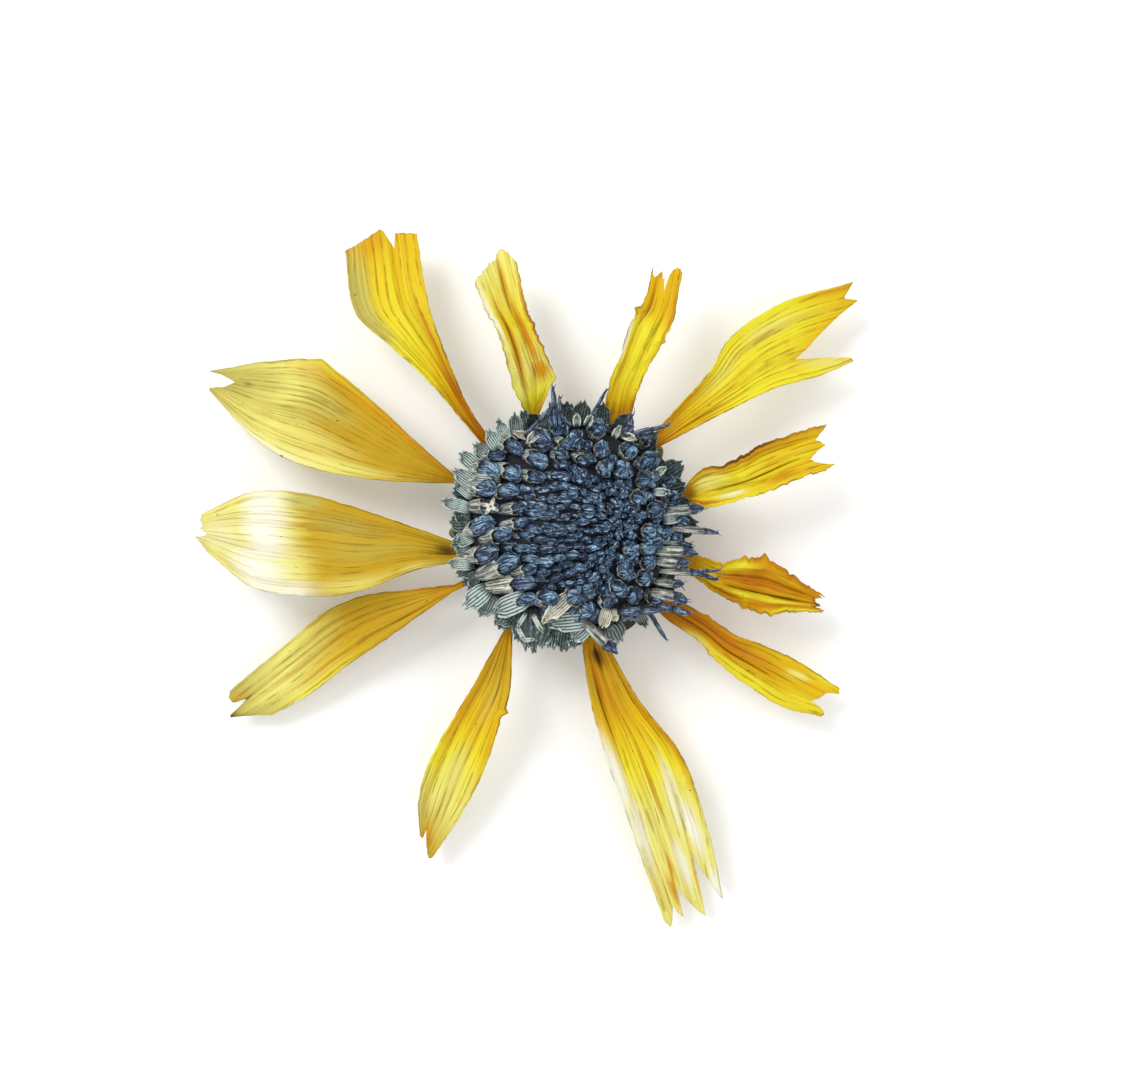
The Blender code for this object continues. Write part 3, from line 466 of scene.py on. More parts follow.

# The disc's larger florets, placed one by one: root and tip in plan, radius, how far the tip stands
# off the dome, and tone, from -1 for slate to 1 for violet heads and cream sleeves; slate heads also take
# more of the painted highlight.
FLORETS = (
    ((-9.4, 11.0), (-5.8, 9.5), 1.00, 1.6, 0.1), ((-12.2, 7.4), (-8.7, 7.0), 1.10, 1.6, -0.2),
    ((-9.8, 7.3), (-6.0, 6.6), 1.00, 1.4, -0.5), ((-12.6, 5.0), (-9.0, 4.9), 1.15, 1.5, 0.0),
    ((-10.2, 4.5), (-6.6, 4.3), 0.95, 1.4, -0.3), ((-12.6, 2.6), (-9.0, 2.7), 0.90, 1.4, 0.5),
    ((-8.9, 2.2), (-5.3, 2.4), 0.80, 1.3, 0.3), ((-12.9, -0.6), (-9.8, 0.7), 1.05, 1.6, -0.4),
    ((-11.0, -1.5), (-7.2, -0.6), 1.00, 1.4, 0.2), ((-12.9, -3.5), (-8.9, -3.1), 1.10, 1.6, 0.1),
    ((-11.4, -5.9), (-6.6, -3.9), 1.15, 1.4, -0.1), ((-10.3, -7.3), (-4.7, -6.5), 1.15, 1.3, 0.9),
    ((-8.4, -9.3), (-4.4, -8.4), 1.00, 1.2, 0.0), ((-5.6, 9.1), (-3.0, 7.8), 1.00, 1.7, -0.3),
    ((-6.4, 6.7), (-3.3, 5.9), 0.80, 1.3, 0.2), ((-4.9, 10.8), (-2.5, 11.0), 1.30, 2.0, 0.8),
    ((-1.8, 11.4), (-0.8, 13.0), 1.10, 2.3, -0.8), ((2.8, 11.3), (4.0, 13.0), 1.10, 2.3, -0.6),
    ((0.3, 10.2), (1.2, 10.8), 1.10, 2.7, -1.0), ((3.5, 9.1), (4.5, 9.8), 0.95, 2.5, -0.7),
    ((6.6, 9.0), (7.8, 9.8), 1.10, 2.7, -0.8), ((9.0, 7.8), (10.4, 8.8), 1.00, 2.7, -1.0),
    ((-2.2, 9.2), (-0.2, 8.6), 0.85, 1.7, 0.4), ((0.3, 9.0), (2.2, 7.7), 0.70, 1.6, 0.6),
    ((-2.4, 11.0), (0.0, 9.8), 0.60, 1.6, -0.4), ((3.8, 7.2), (4.8, 7.0), 0.95, 2.5, 0.1),
    ((5.9, 6.6), (7.1, 6.9), 1.10, 2.7, -0.2), ((8.5, 5.6), (9.9, 6.0), 1.05, 2.8, -0.4),
    ((7.6, 3.5), (8.8, 3.8), 0.95, 2.8, -0.3), ((9.7, 2.1), (11.1, 2.4), 1.05, 3.0, -0.9),
    ((9.1, -0.3), (10.3, -0.3), 0.95, 2.9, -0.7), ((8.8, -2.4), (10.0, -2.4), 0.85, 2.9, -0.6),
    ((8.9, -4.2), (10.1, -4.3), 0.90, 2.9, -0.3), ((8.4, -5.9), (9.7, -6.1), 0.95, 2.9, 0.1),
    ((7.3, -7.9), (8.4, -8.5), 1.00, 2.8, 0.2), ((11.4, 3.6), (13.0, 4.0), 0.65, 1.8, 0.9),
    ((11.0, 5.2), (12.8, 6.1), 0.75, 1.8, 0.7), ((6.3, -5.0), (7.2, -5.4), 1.00, 2.8, 0.0),
    ((5.3, -7.0), (6.2, -7.5), 1.00, 2.8, 0.3), ((6.8, -2.7), (7.8, -2.9), 0.80, 2.8, -0.4),
    ((0.0, -8.2), (1.4, -8.2), 1.25, 2.2, 0.4), ((1.6, -9.7), (3.2, -10.2), 1.20, 2.2, 0.3),
    ((-4.4, -9.0), (-1.5, -8.1), 1.00, 1.6, 0.2), ((3.9, -8.5), (5.3, -9.0), 1.05, 2.4, 0.6),
    ((12.0, 1.2), (14.2, 0.5), 0.85, 2.6, -0.9), ((8.8, 10.2), (9.9, 11.0), 0.65, 1.6, 0.7),
    ((-11.2, 8.8), (-8.2, 8.8), 0.75, 1.0, 0.2), ((-8.6, 0.2), (-5.4, 0.7), 0.70, 1.2, 0.1),
    ((-7.6, -5.9), (-4.2, -4.9), 0.75, 1.2, 0.3), ((8.2, 8.0), (9.0, 7.6), 0.70, 2.0, 0.7),
    ((9.4, -8.0), (11.2, -9.2), 0.85, 1.8, 0.8), ((6.6, -9.8), (7.6, -11.2), 0.85, 1.6, 0.9),
)

# Withered florets that stick out past the disc's edge: root, tip, radius, bow upward, and how pale
# the tube is below its dark end.
STRAYS = {
    "top_left_spire": ((-1.8, 12.0, 11.2), (-2.1, 17.6, 11.6), 0.4, 0.3, 0.0),
    "top_left_prong": ((-1.2, 12.2, 11.4), (-1.3, 16.2, 11.4), 0.32, 0.3, 0.0),
    "top_left_shoot": ((-2.2, 12.2, 11.4), (-2.6, 15.4, 11.2), 0.3, 0.3, 0.0),
    "top_left_branch": ((-5.6, 11.2, 11.4), (-2.2, 14.9, 11.9), 0.32, 0.4, 0.1),
    "top_tube": ((1.8, 12.4, 11.4), (4.6, 17.1, 11.4), 0.28, 0.6, 0.1),
    "top_right_tube": ((7.2, 11.4, 11.8), (12.3, 12.7, 11.4), 0.36, 0.9, 0.0),
    "top_right_knob": ((6.9, 11.0, 11.2), (7.7, 14.0, 11.6), 0.6, 0.2, 0.1),
    "right_tube_1": ((11.2, 1.9, 10.9), (16.4, 2.4, 11.2), 0.72, 0.3, 1.0),
    "right_tube_2": ((12.6, -0.1, 11.0), (18.3, -0.6, 11.0), 0.5, 0.4, 0.8),
    "right_tube_3": ((10.4, -1.6, 10.6), (15.0, -2.1, 10.4), 0.4, 0.1, 0.6),
    "right_tube_4": ((10.4, -2.9, 10.8), (15.8, -3.1, 10.9), 0.72, 0.2, 1.0),
    "right_tube_5": ((10.4, -4.1, 11.0), (14.5, -4.5, 11.2), 0.75, 0.2, 1.0),
    "right_fork": ((11.0, -5.3, 10.6), (16.6, -5.6, 10.6), 0.55, 0.2, 0.9),
    "right_fork_prong_1": ((15.4, -5.4, 10.7), (18.4, -5.3, 10.8), 0.3, 0.2, 0.0),
    "right_fork_prong_2": ((15.4, -5.6, 10.6), (18.3, -6.4, 10.4), 0.3, 0.1, 0.0),
    "right_tube_6": ((10.4, -6.6, 10.6), (13.9, -7.1, 10.6), 0.6, 0.2, 0.9),
    "lower_right_tube": ((10.0, -7.9, 10.4), (14.4, -9.0, 10.8), 0.8, 0.2, 0.9),
    "lower_right_bundle": ((5.8, -10.4, 11.0), (11.6, -10.1, 11.6), 0.55, 0.9, 0.0),
    "lower_right_end": ((10.6, -9.6, 10.8), (14.8, -10.5, 11.0), 0.5, 0.2, 0.0),
    "lower_right_thread": ((9.0, -9.4, 10.8), (12.0, -13.9, 10.8), 0.35, 0.3, 0.0),
    "bottom_tube": ((1.6, -11.6, 10.4), (5.7, -15.6, 10.6), 0.75, 0.2, 1.0),
}

# The larger scales of the disc's edge: root, tip, half-width, cup, curl and tone, from -1 for dark
# teal over 0 for pale grey-green to 1 for cream.
SCALES = (
    ((-11.0, 7.0, 9.4), (-13.6, 9.2, 9.6), 0.95, 0.2, 0.2, 0.0),
    ((-11.4, 5.0, 9.6), (-14.4, 7.1, 9.3), 0.9, 0.2, 0.1, -0.3),
    ((-11.9, 3.8, 9.5), (-14.2, 5.8, 8.9), 0.8, 0.2, 0.0, 0.0),
    ((-12.2, 2.3, 9.3), (-15.8, 3.3, 9.0), 0.75, 0.3, 0.1, 0.2),
    ((-12.3, 1.0, 9.2), (-13.8, 0.9, 9.4), 0.8, 0.3, 0.2, -1.0),
    ((-12.0, -1.0, 9.0), (-14.0, -1.9, 9.0), 0.8, 0.3, 0.2, 0.1),
    ((-9.4, 8.4, 9.4), (-11.8, 10.3, 9.4), 0.85, 0.2, 0.2, -0.5),
    ((-8.8, 9.8, 9.9), (-10.2, 12.0, 10.6), 0.9, 0.3, 0.1, 0.3),
    ((-8.0, 10.8, 9.8), (-8.9, 13.4, 10.8), 0.7, 0.3, 0.2, 0.1),
    ((-6.6, 11.2, 9.6), (-6.9, 14.1, 10.8), 0.85, 0.5, 0.3, -0.5),
    ((-5.2, 11.2, 10.4), (-7.0, 11.8, 11.8), 0.45, 0.3, 0.2, 1.0),
    ((-4.2, 11.6, 11.2), (-5.4, 10.3, 12.0), 0.5, 0.6, 0.5, 0.6),
    ((-12.2, -4.6, 9.2), (-15.0, -4.4, 9.4), 0.75, 0.3, 0.1, 0.4),
    ((-12.3, -2.6, 9.0), (-14.2, -2.9, 9.0), 0.8, 0.3, 0.1, -0.6),
    ((-11.2, -5.8, 9.2), (-13.2, -7.0, 8.6), 0.8, 0.2, 0.0, -1.0),
    ((-10.2, -7.5, 9.4), (-13.0, -9.8, 9.0), 1.25, 0.2, 0.1, 0.2),
    ((-9.4, -8.2, 9.2), (-10.6, -10.8, 8.8), 1.0, 0.2, 0.1, -0.6),
    ((-5.2, -8.6, 11.5), (-9.1, -10.3, 10.4), 1.3, 0.4, 0.3, 0.1),
    ((-8.6, 5.4, 11.2), (-12.4, 5.6, 10.6), 1.0, 0.5, 0.3, 0.5),
    ((-9.8, 2.6, 11.9), (-10.9, 2.9, 12.2), 0.2, 0.1, 0.1, 1.0),
    ((-9.8, 2.6, 11.9), (-9.4, 3.6, 12.2), 0.2, 0.1, 0.1, 0.9),
    ((-9.8, 2.6, 11.9), (-8.9, 2.1, 12.2), 0.2, 0.1, 0.1, 0.7),
    ((-9.8, 2.6, 11.9), (-10.4, 1.7, 12.2), 0.2, 0.1, 0.1, 1.0),
    ((-7.2, -10.2, 9.0), (-8.9, -12.3, 8.4), 1.2, 0.3, 0.2, -1.0),
    ((-4.9, -9.9, 10.2), (-4.6, -15.2, 10.0), 2.4, -0.7, -0.7, -1.0),
    ((-5.4, -10.4, 10.6), (-6.6, -12.4, 10.4), 0.2, 0.2, 0.1, 0.5),
    ((-6.6, -12.2, 10.4), (-5.6, -14.0, 10.2), 0.22, 0.2, 0.1, 0.5),
    ((-5.9, -13.9, 10.2), (-4.5, -13.8, 10.3), 0.2, 0.2, 0.1, 0.5),
    ((-4.7, -10.6, 10.6), (-3.5, -12.8, 10.3), 0.24, 0.2, 0.1, 0.6),
    ((0.2, -8.2, 11.9), (-2.9, -11.1, 11.3), 1.0, 0.4, 0.4, 1.0),
    ((-2.6, -10.6, 10.6), (-3.4, -11.8, 10.8), 0.4, 0.4, 0.3, 1.0),
    ((2.2, -11.4, 10.6), (-2.3, -11.9, 10.6), 1.2, 0.4, 0.3, 0.2),
    ((2.6, -11.6, 10.2), (0.3, -13.8, 10.0), 1.1, 0.3, 0.3, 0.2),
    ((-0.5, -12.0, 8.8), (-0.9, -15.2, 8.6), 1.15, 0.3, 0.2, -0.9),
    ((4.7, -9.8, 10.9), (4.0, -12.2, 10.6), 0.75, 0.3, 0.3, 1.0),
    ((5.6, -9.9, 10.8), (5.4, -11.4, 10.4), 0.5, 0.3, 0.3, 0.9),
    ((0.8, 12.6, 11.2), (0.8, 14.1, 11.6), 0.45, 0.6, 0.6, 0.5),
    ((2.0, 12.6, 11.4), (2.7, 13.9, 11.8), 0.45, 0.6, 0.6, 0.5),
    ((-2.8, 12.2, 10.0), (-3.2, 14.2, 10.2), 0.8, 0.3, 0.3, -0.8),
    ((0.4, 12.3, 9.6), (-0.2, 14.9, 10.0), 0.7, 0.3, 0.3, -0.9),
    ((6.6, 11.4, 11.2), (8.2, 10.8, 12.0), 0.45, 0.5, 0.5, 0.7),
    ((5.4, 11.2, 10.8), (6.2, 12.6, 11.4), 0.4, 0.5, 0.4, 0.5),
    ((10.8, 6.8, 10.6), (11.9, 7.5, 11.2), 0.45, 0.5, 0.4, 0.5),
    ((10.2, 4.4, 11.0), (12.2, 4.4, 11.2), 0.45, 0.5, 0.3, 0.2),
    ((11.4, 0.9, 10.6), (14.0, 1.4, 10.6), 0.6, 0.4, 0.3, 0.3),
)


def smooth_step(low, high, values):
    """0 below low, 1 above high and a soft rise between, over an array."""
    share = np.clip((values - low) / (high - low), 0.0, 1.0)
    return share * share * (3.0 - 2.0 * share)


def ripple(x, y, seed):
    """Smooth random heights from -1 to 1, with one swell for each unit of x and y."""
    size = 64
    lattice = np.random.default_rng(seed).uniform(-1.0, 1.0, (size, size))
    left, low = np.floor(x).astype(int), np.floor(y).astype(int)
    across, up = smooth_step(0.0, 1.0, x - left), smooth_step(0.0, 1.0, y - low)

    def corner(i, j):
        return lattice[(left + i) % size, (low + j) % size]

    near = corner(0, 0) * (1 - across) + corner(1, 0) * across
    far = corner(0, 1) * (1 - across) + corner(1, 1) * across
    return near * (1 - up) + far * up


def spline(values, share):
    """A smooth curve through evenly spaced values, straight on past the last, at an array of shares."""
    values = np.asarray(values, float)
    last = len(values) - 1
    place = np.clip(share, 0.0, 1.0) * last
    left = np.minimum(place.astype(int), last - 1)
    t, past = place - left, last * np.maximum(share - 1.0, 0.0)
    if values.ndim > 1:
        t, past = t[..., None], past[..., None]
    padded = np.concatenate(([2 * values[0] - values[1]], values, [2 * values[-1] - values[-2]]))
    before, one, other, after = (padded[left + step] for step in range(4))
    bend = 2 * before - 5 * one + 4 * other - after
    swing = 3 * one - before - 3 * other + after
    curve = 0.5 * (2 * one + (other - before) * t + bend * t**2 + swing * t**3)
    return curve + past * (values[-1] - values[-2])


def polar(radius, angle, height=0.0):
    return Vector((radius * math.cos(angle), radius * math.sin(angle), height))


def facing(point, direction, outward):
    """Places a shape at point, its Z along direction and its Y on the outward side."""
    along = direction.normalized()
    side = outward.cross(along).normalized()
    return Matrix.Translation(point) @ Matrix((side, along.cross(side), along)).transposed().to_4x4()


def moved(points, matrix):
    """An array of points, moved by a matrix."""
    turn = np.array(matrix.to_3x3())
    return points @ turn.T + np.array(matrix.translation)


def full_turn(count):
    """A row of angles evenly round the axis."""
    return np.linspace(0.0, math.tau, count, endpoint=False)[None, :]


def rings(radius, angle, height):
    """Rows of points round the Z axis: a row for each height, a column for each angle."""
    return np.stack(np.broadcast_arrays(radius * np.cos(angle), radius * np.sin(angle), height), axis=-1)


class Mesher:
    """Collects grids of points in millimetres into one mesh, with named values at the points."""

    def __init__(self, *names):
        self.points, self.faces, self.count = [], [], 0
        self.values = {name: [] for name in names}

    def grid(self, points, closed=False, **values):
        """Adds rows of points. A closed grid is a tube, whose rows join up and whose ends are shut."""
        rows, columns = points.shape[:2]
        number = self.count + np.arange(rows * columns).reshape(rows, columns)
        after = np.roll(number, -1, axis=1)
        if not closed:
            number, after = number[:, :-1], after[:, :-1]
        quads = np.stack((number[:-1], after[:-1], after[1:], number[1:]), axis=-1)
        self.faces.extend(quads.reshape(-1, 4).tolist())
        if closed:
            self.faces.append(number[0, ::-1].tolist())
            self.faces.append(number[-1].tolist())
        self.points.append(points.reshape(-1, 3))
        for name, store in self.values.items():
            store.append(np.broadcast_to(values[name], (rows, columns)).reshape(-1))
        self.count += rows * columns

    def build(self, name, material, thickness=0.0):
        """Makes the piece, smooth shaded, thickened on both sides where it is a sheet."""
        mesh = bpy.data.meshes.new(name)
        mesh.from_pydata((np.concatenate(self.points) * MM).tolist(), [], self.faces)
        for value, store in self.values.items():
            mesh.attributes.new(value, "FLOAT", "POINT").data.foreach_set(
                "value", np.concatenate(store).astype(np.float32)
            )
        mesh.shade_smooth()
        mesh.materials.append(material)
        piece = bpy.data.objects.new(name, mesh)
        bpy.context.scene.collection.objects.link(piece)
        if thickness:
            skin = piece.modifiers.new("thickness", "SOLIDIFY")
            skin.thickness = thickness
            skin.offset = 0.0
        return piece


class Finish:
    """A material's node tree, built up value by value from the mesh's named values."""

    def __init__(self, name, roughness, specular):
        self.material = bpy.data.materials.new(name)
        self.material.use_nodes = True
        self.nodes = self.material.node_tree.nodes
        self.shader = self.nodes["Principled BSDF"]
        self.shader.inputs["Roughness"].default_value = roughness
        self.shader.inputs["Specular IOR Level"].default_value = specular

    def feed(self, socket, value):
        """Links a socket to a node's result, or sets it to a number or a colour."""
        if isinstance(value, bpy.types.NodeSocket):
            self.material.node_tree.links.new(value, socket)
        elif hasattr(value, "__len__") and len(value) == 3 and socket.type == "RGBA":
            socket.default_value = (*value, 1.0)
        else:
            socket.default_value = value

    def node(self, kind, inputs, **settings):
        made = self.nodes.new(kind)
        for name, value in settings.items():
            setattr(made, name, value)
        for place, value in inputs.items():
            self.feed(made.inputs[place], value)
        return made

    def value(self, name):
        """A value that the mesh holds at its points."""
        return self.node("ShaderNodeAttribute", {}, attribute_name=name).outputs["Fac"]

    def place(self):
        """Where the point is on the object, in millimetres."""
        spot = self.node("ShaderNodeTexCoord", {}).outputs["Object"]
        return self.node("ShaderNodeVectorMath", {0: spot, 3: 1.0 / MM}, operation="SCALE").outputs[0]

    def vector(self, x, y, z=0.0):
        return self.node("ShaderNodeCombineXYZ", {0: x, 1: y, 2: z}).outputs[0]

    def math(self, operation, *values):
        return self.node("ShaderNodeMath", dict(enumerate(values)), operation=operation).outputs[0]

    def times(self, one, other):
        return self.math("MULTIPLY", one, other)

    def noise(self, vector, scale, detail=3.0, roughness=0.55):
        inputs = {"Vector": vector, "Scale": scale, "Detail": detail, "Roughness": roughness}
        return self.node("ShaderNodeTexNoise", inputs).outputs["Fac"]

    def remap(self, value, low, high, to_low=0.0, to_high=1.0):
        """Runs softly from to_low at low to to_high at high."""
        inputs = {0: value, 1: low, 2: high, 3: to_low, 4: to_high}
        return self.node("ShaderNodeMapRange", inputs, interpolation_type="SMOOTHSTEP").outputs[0]

    def mix(self, share, one, other, blend="MIX"):
        inputs = {0: share, 6: one, 7: other}
        return self.node("ShaderNodeMix", inputs, data_type="RGBA", blend_type=blend).outputs[2]

    def ramp(self, value, stops):
        """A colour that runs through the stops, given as places from 0 to 1 with their tints."""
        made = self.node("ShaderNodeValToRGB", {0: value})
        elements = made.color_ramp.elements
        for _ in stops[2:]:
            elements.new(0.5)
        for element, (place, tint) in zip(elements, stops):
            element.position = place
            element.color = (*tint, 1.0)
        return made.outputs[0]

    def finish(self, colour, height, depth, roughness=None):
        """Sets the colour, and a relief of that depth in millimetres."""
        self.feed(self.shader.inputs["Base Color"], colour)
        bump = self.node("ShaderNodeBump", {"Height": height, "Distance": depth * MM, "Strength": 1.0})
        self.feed(self.shader.inputs["Normal"], bump.outputs[0])
        if roughness is not None:
            self.feed(self.shader.inputs["Roughness"], roughness)
        return self.material


def colour(label, default, description):
    return FloatVectorProperty(
        name=label, description=description, default=default, subtype="COLOR", size=3, min=0.0, max=1.0
    )


def length(label, default, description):
    return FloatProperty(
        name=label, description=description, default=default, unit="LENGTH", precision=5, min=0.0
    )


class PetalSettings(bpy.types.PropertyGroup):
    thickness: length("Thickness", 0.0002, "Thickness of a dried petal")
    columns: IntProperty(name="Columns", description="Points across a petal", default=71, min=9)
    rows: IntProperty(name="Rows", description="Points along a petal", default=130, min=20)
    vein_gap: length("Vein gap", 0.0011, "Distance between the stronger veins")
    gold: colour("Gold", (0.68, 0.45, 0.005), "The petals' main yellow")
    lemon: colour("Lemon", (0.73, 0.65, 0.024), "Bright yellow, where a petal is thin")
    straw: colour("Straw", (0.72, 0.68, 0.17), "Pale yellow, half bleached")
    pale: colour("Pale", (0.80, 0.81, 0.70), "Bleached parts")
    amber: colour("Amber", (0.56, 0.27, 0.003), "Brown-yellow folds and edges")
    scorch: colour("Scorch", (0.46, 0.15, 0.002), "Orange at the roots")
    ochre: colour("Ochre", (0.50, 0.32, 0.012), "Dull yellow of the left petals")
    olive: colour("Olive", (0.46, 0.42, 0.09), "Greenish parts that dried dull")
    # Brown is partly the petals' own brown and partly painted shade in their valley creases and slits.
    brown: colour("Brown", (0.10, 0.04, 0.004), "Creases, torn ends and dark spots")
    vein: colour("Vein", (0.26, 0.13, 0.004), "The stronger veins")


class DiscSettings(bpy.types.PropertyGroup):
    count: IntProperty(
        name="Florets", description="Small florets between the placed ones", default=290, min=1
    )
    crowding: FloatProperty(
        name="Crowding", description="0.5 spaces the florets evenly, more crowds the eye", default=0.66
    )
    radius: length("Floret radius", 0.00080, "Radius of the small florets farthest from the eye")
    cap: colour("Cap", (0.014, 0.048, 0.130), "Slate blue of the shrivelled heads")
    # Bloom is a painted highlight: the light blue-grey laid on the heads' folds, tops and fibre streaks.
    painted_highlight: colour("Bloom", (0.40, 0.66, 0.88), "Light blue-grey on their folds")
    body: colour("Body", (0.60, 0.64, 0.56), "Pale grey-green of the sleeves")
    # Moss is the sleeves' own dark stripes, and also painted shade in the grooves between their pleats.
    moss_and_groove_shade: colour("Moss", (0.045, 0.052, 0.044), "Dark stripes of the sleeves")
    cream: colour("Cream", (0.76, 0.76, 0.62), "The sleeves that dried cream, and their torn mouths")
    # Gap is painted shade: the near-black of the grooves, the florets' feet, the dome and dark flecks between
    # them.
    gap: colour("Gap", (0.003, 0.006, 0.014), "Grooves and the ground between florets")
    violet: colour("Violet", (0.020, 0.025, 0.080), "The heads that dried violet")


class ChaffSettings(bpy.types.PropertyGroup):
    count: IntProperty(name="Scales", description="Scales in the ring", default=34, min=3)
    thickness: length("Thickness", 0.00016, "Thickness of a scale")
    straw: colour("Straw", (0.50, 0.60, 0.56), "Pale grey-green of a scale's ribs")
    cream: colour("Cream", (0.76, 0.72, 0.58), "The scales that dried cream")
    teal: colour("Teal", (0.030, 0.058, 0.058), "Stripes between the ribs")
    # Foot is painted shade at the scales' feet.
    gap: colour("Foot", (0.010, 0.014, 0.016), "Dark foot of a scale")


class CupSettings(bpy.types.PropertyGroup):
    thickness: length("Thickness", 0.0004, "Thickness of a bract")
    sage: colour("Sage", (0.15, 0.18, 0.08), "Dried green of the cup and the bracts")
    husk: colour("Husk", (0.33, 0.28, 0.16), "Tan edges, ribs and the cut stalk")
    # Dark is painted shade on the cup's top, among the roots of the petals and scales.
    dark: colour("Dark", (0.045, 0.042, 0.030), "The cup's top, where the petals are rooted")


class StageSettings(bpy.types.PropertyGroup):
    height: length("Camera height", 0.397, "Camera above the table")
    lens: FloatProperty(name="Lens", description="Focal length in millimetres", default=100.0)
    floor: colour("Floor", (0.96, 0.96, 0.96), "Plain pale table")
    sky: FloatProperty(name="Sky", description="Strength of the even light", default=0.9)
    key: FloatProperty(name="Key", description="Power of the main light in watts", default=1.7)


def petal_fray(shape, share, v, seed):
    """How far the petal's skin is shifted across by its bites and spurs and by its ragged edges."""
    ragged = np.zeros_like(share)
    for side, place, depth, reach in shape.get("nicks", ()):
        bite = np.maximum(0.0, 1.0 - np.abs(share - place) / reach) ** 1.3
        ragged += side * depth * bite * smooth_step(0.45, 1.0, side * v)
    for side in (-1, 1):
        wobble = ripple(share * 22.0, share * 0.0 + side, seed + 40)
        wobble += ripple(share * 60.0, share * 0.0, seed + 41)
        frayed = (0.02 + 0.28 * shape["crumple"]) * wobble * smooth_step(0.0, 0.15, share)
        ragged += side * frayed * smooth_step(0.6, 1.0, side * v)
    return ragged


def petal_height(shape, share, u, v, width, seed):
    """The petal's height: its rise, its cupped edges, its creases and its crumples."""
    crumple = shape["crumple"]
    swell = np.sin(np.pi * np.minimum(1.0, 0.1 + 0.85 * share))
    height = spline(shape["rise"], share) + spline(shape["cup"], share) * v**2
    for place, depth, reach, start, end in shape["pleats"]:
        wander = 0.05 * ripple(share * 4.0, share * 0.0 + place, seed + 7)
        span = smooth_step(start - 0.08, start + 0.12, u) * (1.0 - smooth_step(end - 0.15, end + 0.05, u))
        height += PLEAT_SHARE * depth * span * np.exp(-(((v - place - wander) / reach) ** 2))
    height += 0.07 * ripple(v * width * 0.8, share * 2.0, seed + 3) * swell
    height += crumple * 1.4 * swell * ripple(share * 5.0, v * 1.6, seed + 11)
    height += (0.04 + crumple * 0.5) * swell * ripple(share * 14.0, v * 3.5, seed + 12)
    return height


def petal_stains(shape, share, u, v, seed):
    """How strongly each tint lies on each point of the petal."""
    stains = {tint: np.zeros_like(share) for tint in TINTS}
    for tint, place, middle, reach, spread, strength in shape["stains"]:
        drift = 0.06 * ripple(share * 4.0, v * 2.0, seed + 21) * min(1.0, spread * 5.0)
        spot = np.exp(-(((u - place) / reach) ** 2) - ((v - middle + drift) / spread) ** 2)
        stains[tint] = np.maximum(stains[tint], strength * spot)
    return stains


def petal_sheet(shape, rows, columns, seed):
    """A petal's points in a grid from root to tip, the values that its skin reads, and its width."""
    v = np.linspace(-1.0, 1.0, columns)[None, :]
    u = np.linspace(-ROOT_LENGTH, 1.0, rows)[:, None]
    left, right = np.array(shape["left"]), np.array(shape["right"])
    left_run, right_run = np.linalg.norm(left[-1] - left[0]), np.linalg.norm(right[-1] - right[0])
    run = left_run * (1 - v) / 2 + right_run * (1 + v) / 2
    frayed_tip = (0.03 + 0.3 * shape["crumple"]) * ripple(v * 14.0, v * 0.0, seed)
    fringe = np.interp(v, *zip(*shape["tip"])) + frayed_tip
    share = np.maximum(u, 0.0) * (1.0 + fringe / run)
    left_edge = spline(left, share)
    across = spline(right, share) - left_edge
    width = np.linalg.norm(across, axis=-1)
    shift = petal_fray(shape, share, v, seed) / width
    flat = left_edge + across * ((v + 1.0) / 2.0 + shift)[..., None]
    height = petal_height(shape, share, u, v, width.max(), seed)

    outward = Vector((*(left[0] + right[0]), 0.0)).normalized()
    half = np.linalg.norm(right[0] - left[0]) * ROOT_SHARE / 2
    root = np.array(outward.xy) * PETAL_ROOT_RADIUS + np.array((outward.y, -outward.x)) * half * v[..., None]
    sunk = np.clip(-u / ROOT_LENGTH, 0.0, 1.0)
    flat = flat * (1 - sunk)[..., None] + root * sunk[..., None]
    height = height * (1 - sunk) + PETAL_ROOT_HEIGHT * sunk

    edge = np.minimum((1 - np.abs(v)) * width / 2, (1 - u) * run)
    values = {"along": u, "across": v, "edge": edge, **petal_stains(shape, share, u, v, seed)}
    return np.concatenate((flat, height[..., None]), axis=-1), values, width.max()


def petal_veins(made, u, drift, seed):
    """Wandering veins along the petal, strong in some parts and faint in others."""
    crossing = made.noise(made.vector(drift, made.times(u, 1.8), seed + 7), 0.8, 2.0)
    phase = made.math("MULTIPLY_ADD", crossing, 12.0, made.times(drift, math.tau))
    vein = made.remap(made.math("SINE", phase), 0.72, 1.0)
    return made.times(vein, made.remap(made.noise(made.place(), 0.35, 3.0), 0.36, 0.62, 0.1, 1.0))


def petal_tint(made, look, shape, u, streak, patch):
    """The petal's wash from root to tip, with its stains laid over it."""
    tone = made.math("MULTIPLY_ADD", made.math("SUBTRACT", streak, 0.5), 0.25, u)
    tint = made.ramp(tone, [(place, getattr(look, kind)) for place, kind in shape["wash"]])
    tint = made.mix(made.remap(patch, 0.55, 0.8, 0.0, 0.4), tint, look.amber)
    for kind in TINTS:
        broken = made.times(made.value(kind), made.remap(streak, 0.25, 0.7, 1.3, 0.75))
        tint = made.mix(made.remap(broken, 0.1, 0.95), tint, getattr(look, kind))
    return tint


